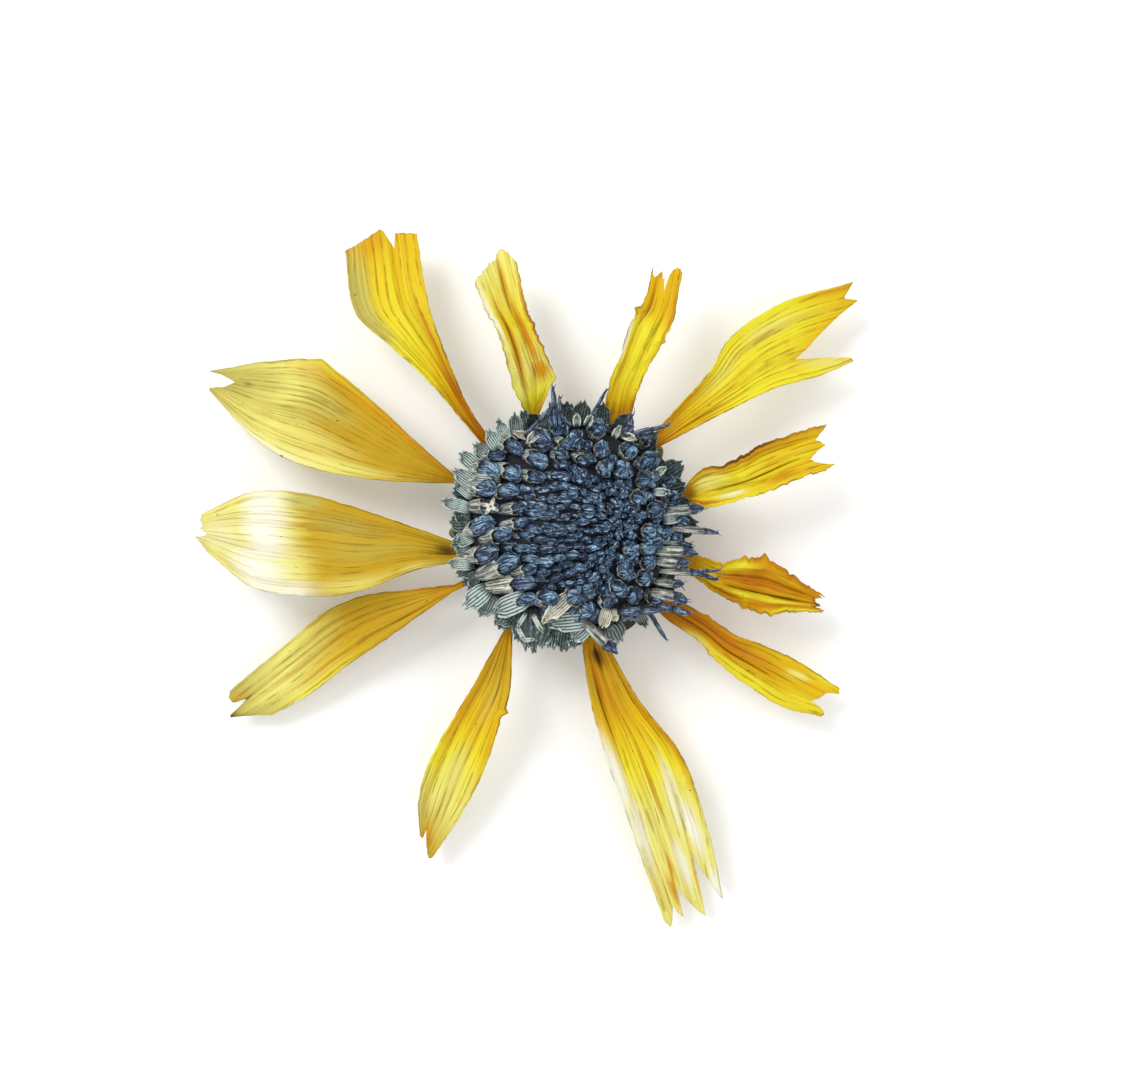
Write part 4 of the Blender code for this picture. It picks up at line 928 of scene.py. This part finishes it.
def petal_finish(name, look, shape, width, seed):
    """Papery yellow, washed along the petal, with its own stains, its veins and a few specks."""
    made = Finish(name, 0.6, 0.15)
    u, v = made.value("along"), made.value("across")
    lanes = width * MM / look.vein_gap / 2.0
    sway = made.noise(made.vector(v, made.times(u, 2.0), seed), 1.3, 1.0)
    drift = made.times(made.math("MULTIPLY_ADD", sway, 0.16, v), lanes)
    far = made.times(u, 0.3)
    streak = made.noise(made.vector(made.times(drift, 1.6), far, seed + 3), 1.5, 4.0, 0.65)
    fine = made.noise(made.vector(made.times(drift, 5.0), far, seed + 5), 2.0, 3.0, 0.7)
    patch = made.noise(made.place(), 0.4, 4.0, 0.6)
    vein = petal_veins(made, u, drift, seed)

    tint = petal_tint(made, look, shape, u, streak, patch)
    darker = made.mix(1.0, tint, (0.80, 0.66, 0.45), "MULTIPLY")
    tint = made.mix(made.remap(streak, 0.52, 0.36, 0.0, 0.75), tint, darker)
    tint = made.mix(made.remap(fine, 0.48, 0.3, 0.0, 0.6), tint, darker)
    kept = made.math("SUBTRACT", 1.0, made.times(made.value("pale"), 0.9))
    tint = made.mix(made.times(vein, made.times(kept, 0.6)), tint, look.vein)
    rim = made.times(made.remap(made.value("edge"), 0.0, 0.14, 0.6, 0.0), made.remap(patch, 0.42, 0.62))
    tint = made.mix(rim, tint, look.brown)
    speck = made.remap(made.noise(made.place(), 1.6, 1.0), 0.77, 0.82, 0.0, 0.85)
    tint = made.mix(speck, tint, look.brown)

    relief = made.math("ADD", made.times(vein, -0.6), made.times(fine, 0.8))
    return made.finish(tint, relief, 0.08, made.remap(streak, 0.3, 0.7, 0.5, 0.7))


class SUNFLOWER_OT_petals(bpy.types.Operator):
    """Builds the twelve torn, veined petals"""

    bl_idname = "sunflower.petals"
    bl_label = "Petals"

    def execute(self, context):
        look = context.scene.sunflower_petals
        for seed, (node, shape) in enumerate(PETALS.items()):
            sheet = Mesher("along", "across", "edge", *TINTS)
            points, values, width = petal_sheet(shape, look.rows, look.columns, 100 * seed)
            sheet.grid(points, **values)
            skin = petal_finish(f"{node}_skin", look, shape, width, seed * 3.0)
            piece = sheet.build(f"veined_{node}", skin, look.thickness)
            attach(piece, BODY)
            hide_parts(node)
        return {"FINISHED"}


def dome_height(radius):
    """The disc's top surface, this far from its axis."""
    return DISC_SHOULDER + (DISC_CROWN - DISC_SHOULDER) * (1.0 - (radius / DISC_RADIUS) ** 2)


def on_dome(spot, lift):
    """A spot in plan, raised to this far above the disc's top surface."""
    return Vector((*spot, dome_height(min(math.hypot(*spot), DISC_RADIUS)) + lift))


def lean_at(place):
    """A floret's direction at a place on the disc: towards the eye, but outward on its right."""
    toward = MEETING_POINT - place.xy
    near = min(1.0, toward.length / LEAN_REACH)
    toward.normalize()
    left = max(0.0, toward.x) ** 2 * near
    right = max(0.0, (place.x - MEETING_POINT.x) / LEAN_REACH) ** 1.5
    return Vector((0.25 + 0.9 * left + 0.8 * right, 0.35 * toward.y * near, 1.0))


def sleeve_rings(radius, top, sides, dice, worn):
    """A floret's pleated sleeve, up to a torn mouth with five teeth and a little way back inside.

    A worn sleeve doesn't flare.
    """
    rise, width = np.array(SLEEVE).T[..., None]
    width = np.minimum(width, WORN_WIDTH) if worn else width
    angle = full_turn(sides)
    turn, slant = dice.uniform(0.0, math.tau), dice.uniform(0.0, math.tau)
    ridge = np.cos(angle * (sides // 4) + 0.8) * (0.75 + 0.25 * np.cos(angle * 3 + turn + 3 * rise))
    teeth = np.abs((angle * 5 + turn) / math.pi % 2.0 - 1.0) * (0.7 + 0.5 * np.cos(angle * 2 + slant))
    mouth = smooth_step(0.75, 1.0, rise)
    pleated = 1.0 + 0.07 * ridge * rise + 0.06 * np.cos(angle * 2 + turn) - 0.08 * teeth * mouth
    height = rise * top + radius * mouth * (0.55 * teeth - 0.2 + 0.25 * np.cos(angle + slant))
    return rings(radius * width * pleated, angle, height), rise, ridge, np.abs(angle - math.pi)


def cap_rings(radius, foot, reach, sides, dice, worn):
    """A floret's shrivelled head, from inside its sleeve to a crumpled tip, blunt unless it is worn."""
    rise, width = np.array(CAP).T[..., None]
    width = width * (1.0 - 0.5 * rise**1.5) if worn else width
    angle = full_turn(sides)
    turn, seed = dice.uniform(0.0, math.tau), dice.randrange(1000)
    fold = np.cos(angle * 5 + turn + 1.2 * rise)
    lumps = ripple(1.8 * np.cos(angle) + 9.0, 1.8 * np.sin(angle) + 3.5 * rise + 9.0, seed)
    grain = ripple(4.5 * np.cos(angle) + 9.0, 4.5 * np.sin(angle) + 8.0 * rise + 9.0, seed + 1)
    wrinkled = radius * width * (1.0 + 0.10 * fold * rise + 0.20 * lumps + 0.16 * grain)
    bent = radius * 0.45 * rise**2
    points = np.stack((
        wrinkled * np.cos(angle) * dice.uniform(0.85, 1.15) + bent * dice.uniform(-1.0, 1.0),
        wrinkled * np.sin(angle) * dice.uniform(0.85, 1.15) + bent * dice.uniform(-1.0, 1.0),
        foot + rise * reach + 0.22 * radius * (lumps + grain) * rise,
    ), axis=-1)
    groove = np.clip(0.3 * fold + 0.8 * lumps + 0.8 * grain, -1.0, 1.0)
    return points, rise, groove, np.abs(angle - math.pi)


def add_floret(mesh, matrix, radius, sleeve, cap, pale, tone, dice, bow=0.0, worn=False):
    """Adds a floret: its pleated sleeve and its head, bowed up in the middle when it lies down."""
    sides = 32 if radius > FINE_RADIUS else 20
    tube, rise, ridge, around = sleeve_rings(radius, sleeve, sides, dice, worn)
    foot, reach = sleeve - 0.6 * radius, cap + 0.6 * radius
    head, head_rise, fold, turned = cap_rings(0.95 * radius, foot, reach, 16 + sides // 4, dice, worn)
    for grid in (tube, head):
        grid[..., 1] += bow * np.sin(np.pi * np.clip(grid[..., 2] / (sleeve + cap), 0.0, 1.0))
    lane = 4.5 * radius
    mesh.grid(
        moved(tube, matrix), closed=True,
        along=rise, around=around * lane, groove=ridge, pale=pale * (1.0 - 0.7 * worn * rise**3), tone=tone,
    )
    mesh.grid(
        moved(head, matrix), closed=True,
        along=head_rise, around=turned * lane, groove=fold, pale=0.0, tone=tone,
    )


def add_thread(mesh, root, direction, reach, radius, pale, dice):
    """Adds a thin dried thread that curls as it goes."""
    along = np.linspace(0.0, 1.0, 8)[:, None]
    angle = full_turn(5)
    width = radius * (1.0 - 0.6 * along)
    curl = reach * along**2
    points = np.stack((
        width * np.cos(angle) + dice.uniform(-0.5, 0.5) * curl,
        width * np.sin(angle) + dice.uniform(-0.5, 0.5) * curl,
        along * reach + 0.0 * angle,
    ), axis=-1)
    placed = moved(points, facing(root, direction, Vector((0.1, 0.2, 1.0))))
    mesh.grid(placed, closed=True, along=along, around=0.0, groove=0.5, pale=pale, tone=1.0)


def add_dome(mesh):
    """Adds the dome that the florets stand on, coloured near-black as painted shade between the florets."""
    foot = CUP_FLOOR + GAP
    crown = [(DISC_RADIUS * s, dome_height(DISC_RADIUS * s)) for s in np.linspace(1.0, 0.02, 14)]
    profile = np.array([(DISC_RADIUS * 0.3, foot), (DISC_RADIUS, foot), *crown])
    dome = rings(profile[:, :1], full_turn(96), profile[:, 1:])
    mesh.grid(dome, closed=True, along=0.0, around=0.0, groove=-1.0, pale=0.0, tone=0.0)


def add_placed_florets(mesh, dice):
    """Adds the larger florets, each from its root on the dome to its tip above it."""
    for root, tip, radius, lift, tone in FLORETS:
        foot = on_dome(root, -0.4)
        run = on_dome(tip, lift) - foot
        cap = min(2.2 * radius, 0.55 * run.length)
        add_floret(mesh, facing(foot, run, foot), radius, run.length - cap, cap, 1.0, tone, dice, 0.2)


def covered(spot, wide):
    """Whether a small floret that ends at a spot in plan would stand in one of the larger ones."""
    for root, tip, radius, _, _ in FLORETS:
        root, run = Vector(root), Vector(tip) - Vector(root)
        share = max(0.0, min(1.0, (spot - root).dot(run) / run.length_squared))
        if (spot - root - run * share).length < 0.75 * radius + 0.3 * wide:
            return True
    return False


def add_small_florets(mesh, look, dice):
    """Adds a spiral of small florets round the eye, where no larger one stands."""
    for number in range(look.count):
        share = ((number + 0.5) / look.count) ** look.crowding
        outward = polar(1.0, number * GOLDEN_ANGLE)
        place = DISC_EYE * (1.0 - share) + outward * (SPIRAL_REACH * share)
        rim = max(0.0, place.length - SINK_RADIUS) / SINK_WIDTH
        place.z = dome_height(place.length) - 0.6 - 0.5 * rim
        wide = look.radius / MM * (0.34 + 0.66 * share) * dice.uniform(0.8, 1.2)
        direction = lean_at(place) + Vector((dice.uniform(-0.16, 0.16), dice.uniform(-0.16, 0.16), 0.0))
        middle = max(0.0, 1.0 - max(0.0, place.x - 3.0) / 3.0)
        slender = max(0.0, direction.x - 0.4) * (1.0 - rim) * middle
        wide *= 1.0 - 0.25 * slender
        direction.z = 1.0 - 0.4 * slender
        sleeve = SMALL_SLEEVE * dice.uniform(0.8, 1.1)
        cap = (1.3 + 3.6 * slender) * wide * dice.uniform(0.85, 1.15)
        end = place + direction.normalized() * (sleeve + 0.6 * cap)
        if covered(end.xy, wide):
            continue
        pale = max(0.0, min(1.0, share * 1.5 - 1.0 + dice.uniform(-0.4, 0.4)))
        matrix = facing(place, direction, outward)
        add_floret(mesh, matrix, wide, sleeve, cap, pale, dice.uniform(-1.0, 0.8), dice)
        if dice.random() < 0.2:
            tip = matrix @ Vector((0.0, 0.0, sleeve + 0.8 * cap))
            stray = direction + Vector((dice.uniform(-1, 1), dice.uniform(-1, 1), 0.3))
            add_thread(mesh, tip, stray, dice.uniform(0.4, 1.0), 0.06, dice.choice((0.0, 1.0)), dice)


def head_tint(made, look, along, groove, tone, grit, fibre):
    """A floret's head: slate or violet, with a painted highlight on its folds, its top and its fibre streaks,
    and painted shade in its grooves and in dark flecks and streaks.
    """
    # Painted shade in the grooves between the folds.
    head = made.mix(made.remap(groove, -0.7, 0.2), look.gap, look.cap)
    head = made.mix(made.remap(tone, 0.2, 1.0, 0.0, 0.9), head, look.violet)
    # Painted highlight: strongest on the ridges of the folds, on slate heads and towards a head's top.
    lit = made.times(made.remap(groove, 0.1, 0.75), made.remap(grit, 0.46, 0.56, 0.1, 1.0))
    lit = made.times(lit, made.remap(tone, -1.0, 0.8, 1.0, 0.4))
    lit = made.times(lit, made.remap(along, 0.3, 0.7, 0.5, 1.0))
    head = made.mix(lit, head, look.painted_highlight)
    head = made.mix(made.remap(fibre, 0.52, 0.64, 0.0, 0.8), head, look.painted_highlight)
    head = made.mix(made.remap(grit, 0.61, 0.68, 0.0, 0.6), head, look.cream)
    # Painted shade: dark fibre streaks and flecks that stand for the shade between the florets.
    head = made.mix(made.remap(fibre, 0.46, 0.34, 0.0, 0.8), head, look.gap)
    return made.mix(made.remap(grit, 0.44, 0.34, 0.0, 0.85), head, look.gap)


def sleeve_tint(made, look, along, groove, tone, grit, fibre):
    """A floret's sleeve: pale or cream, with dark stripes, painted shade in the grooves between its pleats
    and dark flecks, and a torn cream mouth.
    """
    patch = made.noise(made.place(), 0.9, 3.0)
    sleeve = made.mix(made.remap(tone, 0.5, 0.9), look.body, look.cream)
    sleeve = made.mix(made.remap(patch, 0.5, 0.62, 0.0, 0.45), sleeve, look.cap)
    sleeve = made.mix(made.remap(fibre, 0.54, 0.42, 0.0, 0.92), sleeve, look.moss_and_groove_shade)
    # Painted shade in the grooves between the pleats.
    sleeve = made.mix(made.remap(groove, 0.1, -0.9, 0.0, 0.65), sleeve, look.moss_and_groove_shade)
    # Dark flecks of painted shade on the sleeve.
    sleeve = made.mix(made.remap(grit, 0.45, 0.33, 0.0, 0.7), sleeve, look.gap)
    edge = made.times(made.remap(along, 0.86, 1.0), made.remap(grit, 0.42, 0.54, 0.1, 0.85))
    return made.mix(edge, sleeve, look.cream)


def disc_finish(name, look, roughness=0.5):
    """Slate heads on pale sleeves, with painted shade at their feet, with grit and fibres in both."""
    made = Finish(name, roughness, 0.5)
    along, around, groove, pale, tone = (made.value(key) for key in FLORET_VALUES)
    grit = made.noise(made.place(), 2.8, 4.0, 0.7)
    fibre = made.noise(made.vector(around, made.times(along, 1.5), tone), 1.0, 3.0, 0.6)
    head = head_tint(made, look, along, groove, tone, grit, fibre)
    sleeve = sleeve_tint(made, look, along, groove, tone, grit, fibre)
    tint = made.mix(made.remap(pale, 0.05, 0.75), head, sleeve)
    # Painted shade at the florets' feet, down among the others; the paler a sleeve, the less of it it takes.
    foot = made.times(made.remap(along, 0.65, 0.0, 0.0, 0.95), made.remap(pale, 1.0, 0.6))
    tint = made.mix(foot, tint, look.gap)
    return made.finish(tint, made.math("ADD", grit, made.times(fibre, 0.8)), 0.3)


class SUNFLOWER_OT_disc(bpy.types.Operator):
    """Builds the disc: a dome in painted shade, packed with shrivelled florets that lean one way"""

    bl_idname = "sunflower.disc"
    bl_label = "Disc Florets"

    def execute(self, context):
        look = context.scene.sunflower_disc
        dice = random.Random(23)
        disc = Mesher(*FLORET_VALUES)
        add_dome(disc)
        add_placed_florets(disc, dice)
        add_small_florets(disc, look, dice)
        piece = disc.build("shrivelled_disc_florets", disc_finish("floret_skin", look))
        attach(piece, BODY)
        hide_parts("disc_florets")
        return {"FINISHED"}


def add_stray(mesh, root, tip, radius, bow, pale, dice):
    """Adds a withered tube from root to tip, with two threads at its end."""
    root, tip = Vector(root), Vector(tip)
    run = tip - root
    tubular = pale > 0.5
    cap = min(1.6, 0.3 * run.length) if tubular else 0.5 * run.length
    tone = dice.uniform(0.1, 0.85) if tubular else 1.0
    matrix = facing(root, run, UP)
    add_floret(mesh, matrix, radius, run.length - cap, cap, pale, tone, dice, bow, True)
    for _ in range(2):
        end = run + Vector((dice.uniform(-2, 2), dice.uniform(-2, 2), dice.uniform(-1, 1)))
        add_thread(mesh, tip - run * 0.1, end, dice.uniform(0.5, 1.1), 0.11, 0.0, dice)


class SUNFLOWER_OT_strays(bpy.types.Operator):
    """Builds the withered tubes that reach past the disc's edge"""

    bl_idname = "sunflower.strays"
    bl_label = "Withered Tubes"

    def execute(self, context):
        look = context.scene.sunflower_disc
        dice = random.Random(41)
        tubes = Mesher(*FLORET_VALUES)
        for stray in STRAYS.values():
            add_stray(tubes, *stray, dice)
        piece = tubes.build("withered_tubes", disc_finish("withered_skin", look, 0.35))
        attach(piece, BODY)
        return {"FINISHED"}


def blade(half_width, reach, cup, curl, rows, columns, taper=0.85, teeth=0.0):
    """A ribbed scale along Z, across X: cupped up at its edges and curled towards its Y side."""
    s = np.linspace(0.0, 1.0, rows)[:, None]
    t = np.linspace(-1.0, 1.0, columns)[None, :]
    outline = (0.7, 0.95, 1.0, taper, 0.8 * taper, 0.5)
    width = half_width * np.interp(s, (0.0, 0.25, 0.55, 0.8, 0.93, 1.0), outline)
    ribs = np.cos(t * np.pi * 6.0 + 1.5 * s)
    lift = cup * t**2 + 0.06 * ribs * np.sin(np.pi * np.minimum(1.0, 0.2 + s))
    torn = teeth * (0.05 * ribs + 0.08 * np.cos(t * 7.0 + reach * 20.0))
    long = reach * (s - s**3 * (0.16 * t**2 - torn))
    return np.stack((width * t, lift + curl * s**2, long), axis=-1), s, ribs


def scale_finish(name, look):
    """Papery scales, striped between their ribs, with the tone each scale has and painted shade at their
    feet.
    """
    made = Finish(name, 0.5, 0.4)
    along, groove, tone = (made.value(key) for key in SCALE_VALUES)
    grit = made.noise(made.place(), 2.4, 4.0, 0.65)
    skin = made.mix(made.remap(tone, 0.3, 0.9), look.straw, look.cream)
    dark = made.remap(tone, -0.1, -1.0, 0.0, 0.93)
    skin = made.mix(made.times(dark, made.remap(grit, 0.62, 0.5, 0.6, 1.0)), skin, look.teal)
    stripes = made.remap(groove, 0.2, -0.6, 0.0, 0.9)
    tint = made.mix(made.times(stripes, made.remap(tone, 0.9, 0.2, 0.35, 1.0)), skin, look.teal)
    tint = made.mix(made.remap(grit, 0.45, 0.32, 0.0, 0.7), tint, look.teal)
    # Painted shade at the scales' feet, where they stand in the wall.
    tint = made.mix(made.remap(along, 0.3, 0.0, 0.0, 0.9), tint, look.gap)
    return made.finish(tint, made.math("ADD", groove, grit), 0.08)


def add_wall(ring):
    """Adds the low ribbed wall that the ring's scales grow from."""
    angle = np.linspace(0.0, math.tau, 577)[None, :]
    inner, outer = WALL_INNER + 0.1, WALL_OUTER - 0.1
    profile = np.array((
        (inner, CUP_FLOOR + 1.0), (inner, WALL_TOP - 0.1), (outer - 0.2, WALL_TOP - 0.1),
        (outer, WALL_TOP - 0.4), (outer, WALL_TOP - 1.0), (outer, CUP_FLOOR + GAP),
    ))
    radius, height = profile[:, :1], profile[:, 1:]
    ribs = np.cos(angle * 60 + 4.0 * np.sin(angle * 5) + 3.0 * np.cos(angle * 13)) * np.cos(angle * 3.5)
    notches = np.cos(angle * 21 + 2.0 * np.sin(angle * 4)) - 1.0
    sag = 0.25 * (height > WALL_TOP - 0.5) * notches
    points = rings(radius + 0.07 * ribs, angle, height + sag)
    # Painted shade: the wall's low along and dark tone keep it dark among the scales' feet.
    ring.grid(points, along=0.2, groove=0.7 * ribs, tone=-0.75 + 0.25 * np.cos(angle * 7))


def add_ring_scales(ring, count, dice):
    """Adds the ring's scales, flattest on the right, with painted shade making them darkest at the upper
    right.
    """
    for number in range(count):
        angle = math.tau * number / count + dice.uniform(-0.06, 0.06)
        reach = CHAFF_REACH * dice.uniform(0.72, 1.12)
        half_width = CHAFF_HALF_WIDTH * dice.uniform(0.6, 1.15)
        degrees = 29.0 - 9.0 * math.cos(angle) + 5.0 * (-1) ** number
        tilt = math.radians(degrees + dice.uniform(-4.0, 4.0))
        direction = polar(math.cos(tilt), angle + dice.uniform(-0.3, 0.3), math.sin(tilt))
        root = polar(WALL_INNER + 0.4, angle, WALL_TOP - 0.4)
        points, s, ribs = blade(half_width, reach, 0.25, 0.2, 16, 37, teeth=1.0)
        # Painted shade: the tone sinks towards dark teal round the upper right.
        tone = dice.uniform(-0.8, 0.5) - 1.1 * max(0.0, math.cos(angle - SHADED_CHAFF_ANGLE) + 0.2)
        ring.grid(moved(points, facing(root, direction, UP)), along=s, groove=ribs, tone=tone)


class SUNFLOWER_OT_chaff(bpy.types.Operator):
    """Builds the ring of scales round the disc, and the larger ones that stand out of it"""

    bl_idname = "sunflower.chaff"
    bl_label = "Chaff Scales"

    def execute(self, context):
        look = context.scene.sunflower_chaff
        ring = Mesher(*SCALE_VALUES)
        add_wall(ring)
        add_ring_scales(ring, look.count, random.Random(17))
        piece = ring.build("striped_chaff", scale_finish("chaff_skin", look), look.thickness)
        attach(piece, BODY)
        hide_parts("chaff_ring")

        large = Mesher(*SCALE_VALUES)
        for root, tip, half_width, cup, curl, tone in SCALES:
            root, run = Vector(root), Vector(tip) - Vector(root)
            taper = 0.95 if cup > 0.0 else 0.7
            points, s, ribs = blade(half_width, run.length, cup, curl, 20, 37, taper, 1.0)
            large.grid(moved(points, facing(root, run, UP)), along=s, groove=ribs, tone=tone)
        piece = large.build("standing_scales", scale_finish("scale_skin", look), look.thickness)
        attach(piece, BODY)
        return {"FINISHED"}


def cup_finish(name, look):
    """Dried green with tan ribs and fine grit, with painted shade on top where the petals are rooted."""
    made = Finish(name, 0.8, 0.2)
    grit = made.noise(made.place(), 2.2, 5.0, 0.65)
    tint = made.mix(made.remap(made.value("groove"), -0.2, 1.0, 0.0, 0.7), look.sage, look.husk)
    tint = made.mix(made.remap(grit, 0.45, 0.7, 0.0, 0.8), tint, look.husk)
    # Painted shade on the cup's top.
    tint = made.mix(made.value("shade"), tint, look.dark)
    return made.finish(tint, grit, 0.15)


def add_cup(mesh):
    """Adds the cup on its stub of stalk, with shallow ribs and painted shade on its top."""
    profile = np.array(CUP_PROFILE)
    radius, height = profile[:, :1], profile[:, 1:]
    angle = full_turn(144)
    ribs = np.cos(angle * 24)
    points = rings(radius * (1.0 + 0.008 * ribs), angle, height)
    mesh.grid(points, closed=True, groove=ribs, shade=smooth_step(5.4, 5.9, height))


def add_bracts(mesh, dice):
    """Adds two whorls of bracts, each standing in the gaps of the other."""
    for whorl, (count, radius, height, reach, half_width) in enumerate(BRACT_WHORLS):
        for number in range(count):
            angle = math.tau * (number + whorl / 2) / count + dice.uniform(-0.06, 0.06)
            long = reach * dice.uniform(0.92, 1.05)
            direction = polar(1.0, angle, 0.12)
            points, s, ribs = blade(half_width, long, -0.2, 0.3, 20, 21, 0.6)
            root = polar(radius, angle, height)
            mesh.grid(moved(points, facing(root, direction, UP)), groove=ribs, shade=0.0)


class SUNFLOWER_OT_cup(bpy.types.Operator):
    """Builds the cup with its stub of stalk"""

    bl_idname = "sunflower.cup"
    bl_label = "Cup"

    def execute(self, context):
        look = context.scene.sunflower_cup
        cup = Mesher("groove", "shade")
        add_cup(cup)
        piece = cup.build("ribbed_cup", cup_finish("cup_skin", look))
        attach(piece, BODY)
        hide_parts("receptacle")
        return {"FINISHED"}


class SUNFLOWER_OT_bracts(bpy.types.Operator):
    """Builds the pointed bracts on the cup's underside"""

    bl_idname = "sunflower.bracts"
    bl_label = "Bracts"

    def execute(self, context):
        look = context.scene.sunflower_cup
        bracts = Mesher("groove", "shade")
        add_bracts(bracts, random.Random(11))
        piece = bracts.build("pointed_bracts", cup_finish("bract_skin", look), look.thickness)
        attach(piece, BODY)
        return {"FINISHED"}


def add_table(look):
    """Adds the pale table."""
    bpy.ops.mesh.primitive_plane_add(size=TABLE_SIZE)
    floor = bpy.context.object
    floor.name = "floor"
    made = Finish("table", 0.9, 0.1)
    grain = made.noise(made.place(), 0.02, 2.0)
    shade = made.mix(made.remap(grain, 0.0, 1.0, 0.0, 0.04), look.floor, (0.5, 0.5, 0.5))
    floor.data.materials.append(made.finish(shade, grain, 0.05))


def add_lights(look, scene):
    """Adds an even white surrounding, and two soft lamps that point at the flower head."""
    scene.world = bpy.data.worlds.new("studio")
    scene.world.use_nodes = True
    sky = scene.world.node_tree.nodes["Background"].inputs
    sky["Color"].default_value = (1.0, 1.0, 1.0, 1.0)
    sky["Strength"].default_value = look.sky
    for name, (share, size, place) in LAMPS.items():
        light = bpy.data.lights.new(name, "AREA")
        light.energy, light.size = look.key * share, size
        lamp = bpy.data.objects.new(name, light)
        lamp.location = place
        lamp.rotation_euler = (-Vector(place)).to_track_quat("-Z", "Y").to_euler()
        scene.collection.objects.link(lamp)


def add_camera(look, scene):
    """Adds the camera, which looks straight down at the middle of the flower head."""
    camera = bpy.data.objects.new("camera", bpy.data.cameras.new("camera"))
    camera.data.lens = look.lens
    camera.data.sensor_width = SENSOR_WIDTH
    camera.data.clip_start = 0.01
    camera.location = (*CAMERA_SPOT, look.height)
    scene.collection.objects.link(camera)
    scene.camera = camera


class SUNFLOWER_OT_stage(bpy.types.Operator):
    """Sets the pale table, the soft lights and the camera straight above"""

    bl_idname = "sunflower.stage"
    bl_label = "Stage"

    def execute(self, context):
        look = context.scene.sunflower_stage
        add_table(look)
        add_lights(look, context.scene)
        add_camera(look, context.scene)
        context.scene.view_settings.view_transform = "Standard"
        return {"FINISHED"}


class SUNFLOWER_PT_panel(bpy.types.Panel):
    """Lists the steps that build the flower head, with their settings"""

    bl_label = "Dried Sunflower"
    bl_idname = "SUNFLOWER_PT_panel"
    bl_space_type = "VIEW_3D"
    bl_region_type = "UI"
    bl_category = "Sunflower"

    def draw(self, context):
        for step in STEPS:
            self.layout.operator(step.bl_idname)
        for name, group in SETTINGS.items():
            box = self.layout.box()
            for prop in group.__annotations__:
                box.prop(getattr(context.scene, name), prop)


STEPS = (
    SUNFLOWER_OT_stage, SUNFLOWER_OT_cup, SUNFLOWER_OT_bracts, SUNFLOWER_OT_chaff, SUNFLOWER_OT_disc,
    SUNFLOWER_OT_strays, SUNFLOWER_OT_petals,
)
SETTINGS = {
    "sunflower_petals": PetalSettings,
    "sunflower_disc": DiscSettings,
    "sunflower_chaff": ChaffSettings,
    "sunflower_cup": CupSettings,
    "sunflower_stage": StageSettings,
}


def register():
    for part in (*SETTINGS.values(), *STEPS, SUNFLOWER_PT_panel):
        bpy.utils.register_class(part)
    for name, group in SETTINGS.items():
        setattr(bpy.types.Scene, name, PointerProperty(type=group))


def unregister():
    for name in SETTINGS:
        delattr(bpy.types.Scene, name)
    for part in (SUNFLOWER_PT_panel, *reversed(STEPS), *SETTINGS.values()):
        bpy.utils.unregister_class(part)


def main():
    register()
    bpy.ops.sunflower.stage()
    bpy.ops.sunflower.cup()
    bpy.ops.sunflower.bracts()
    bpy.ops.sunflower.chaff()
    bpy.ops.sunflower.disc()
    bpy.ops.sunflower.strays()
    bpy.ops.sunflower.petals()


if __name__ == "__main__":
    main()
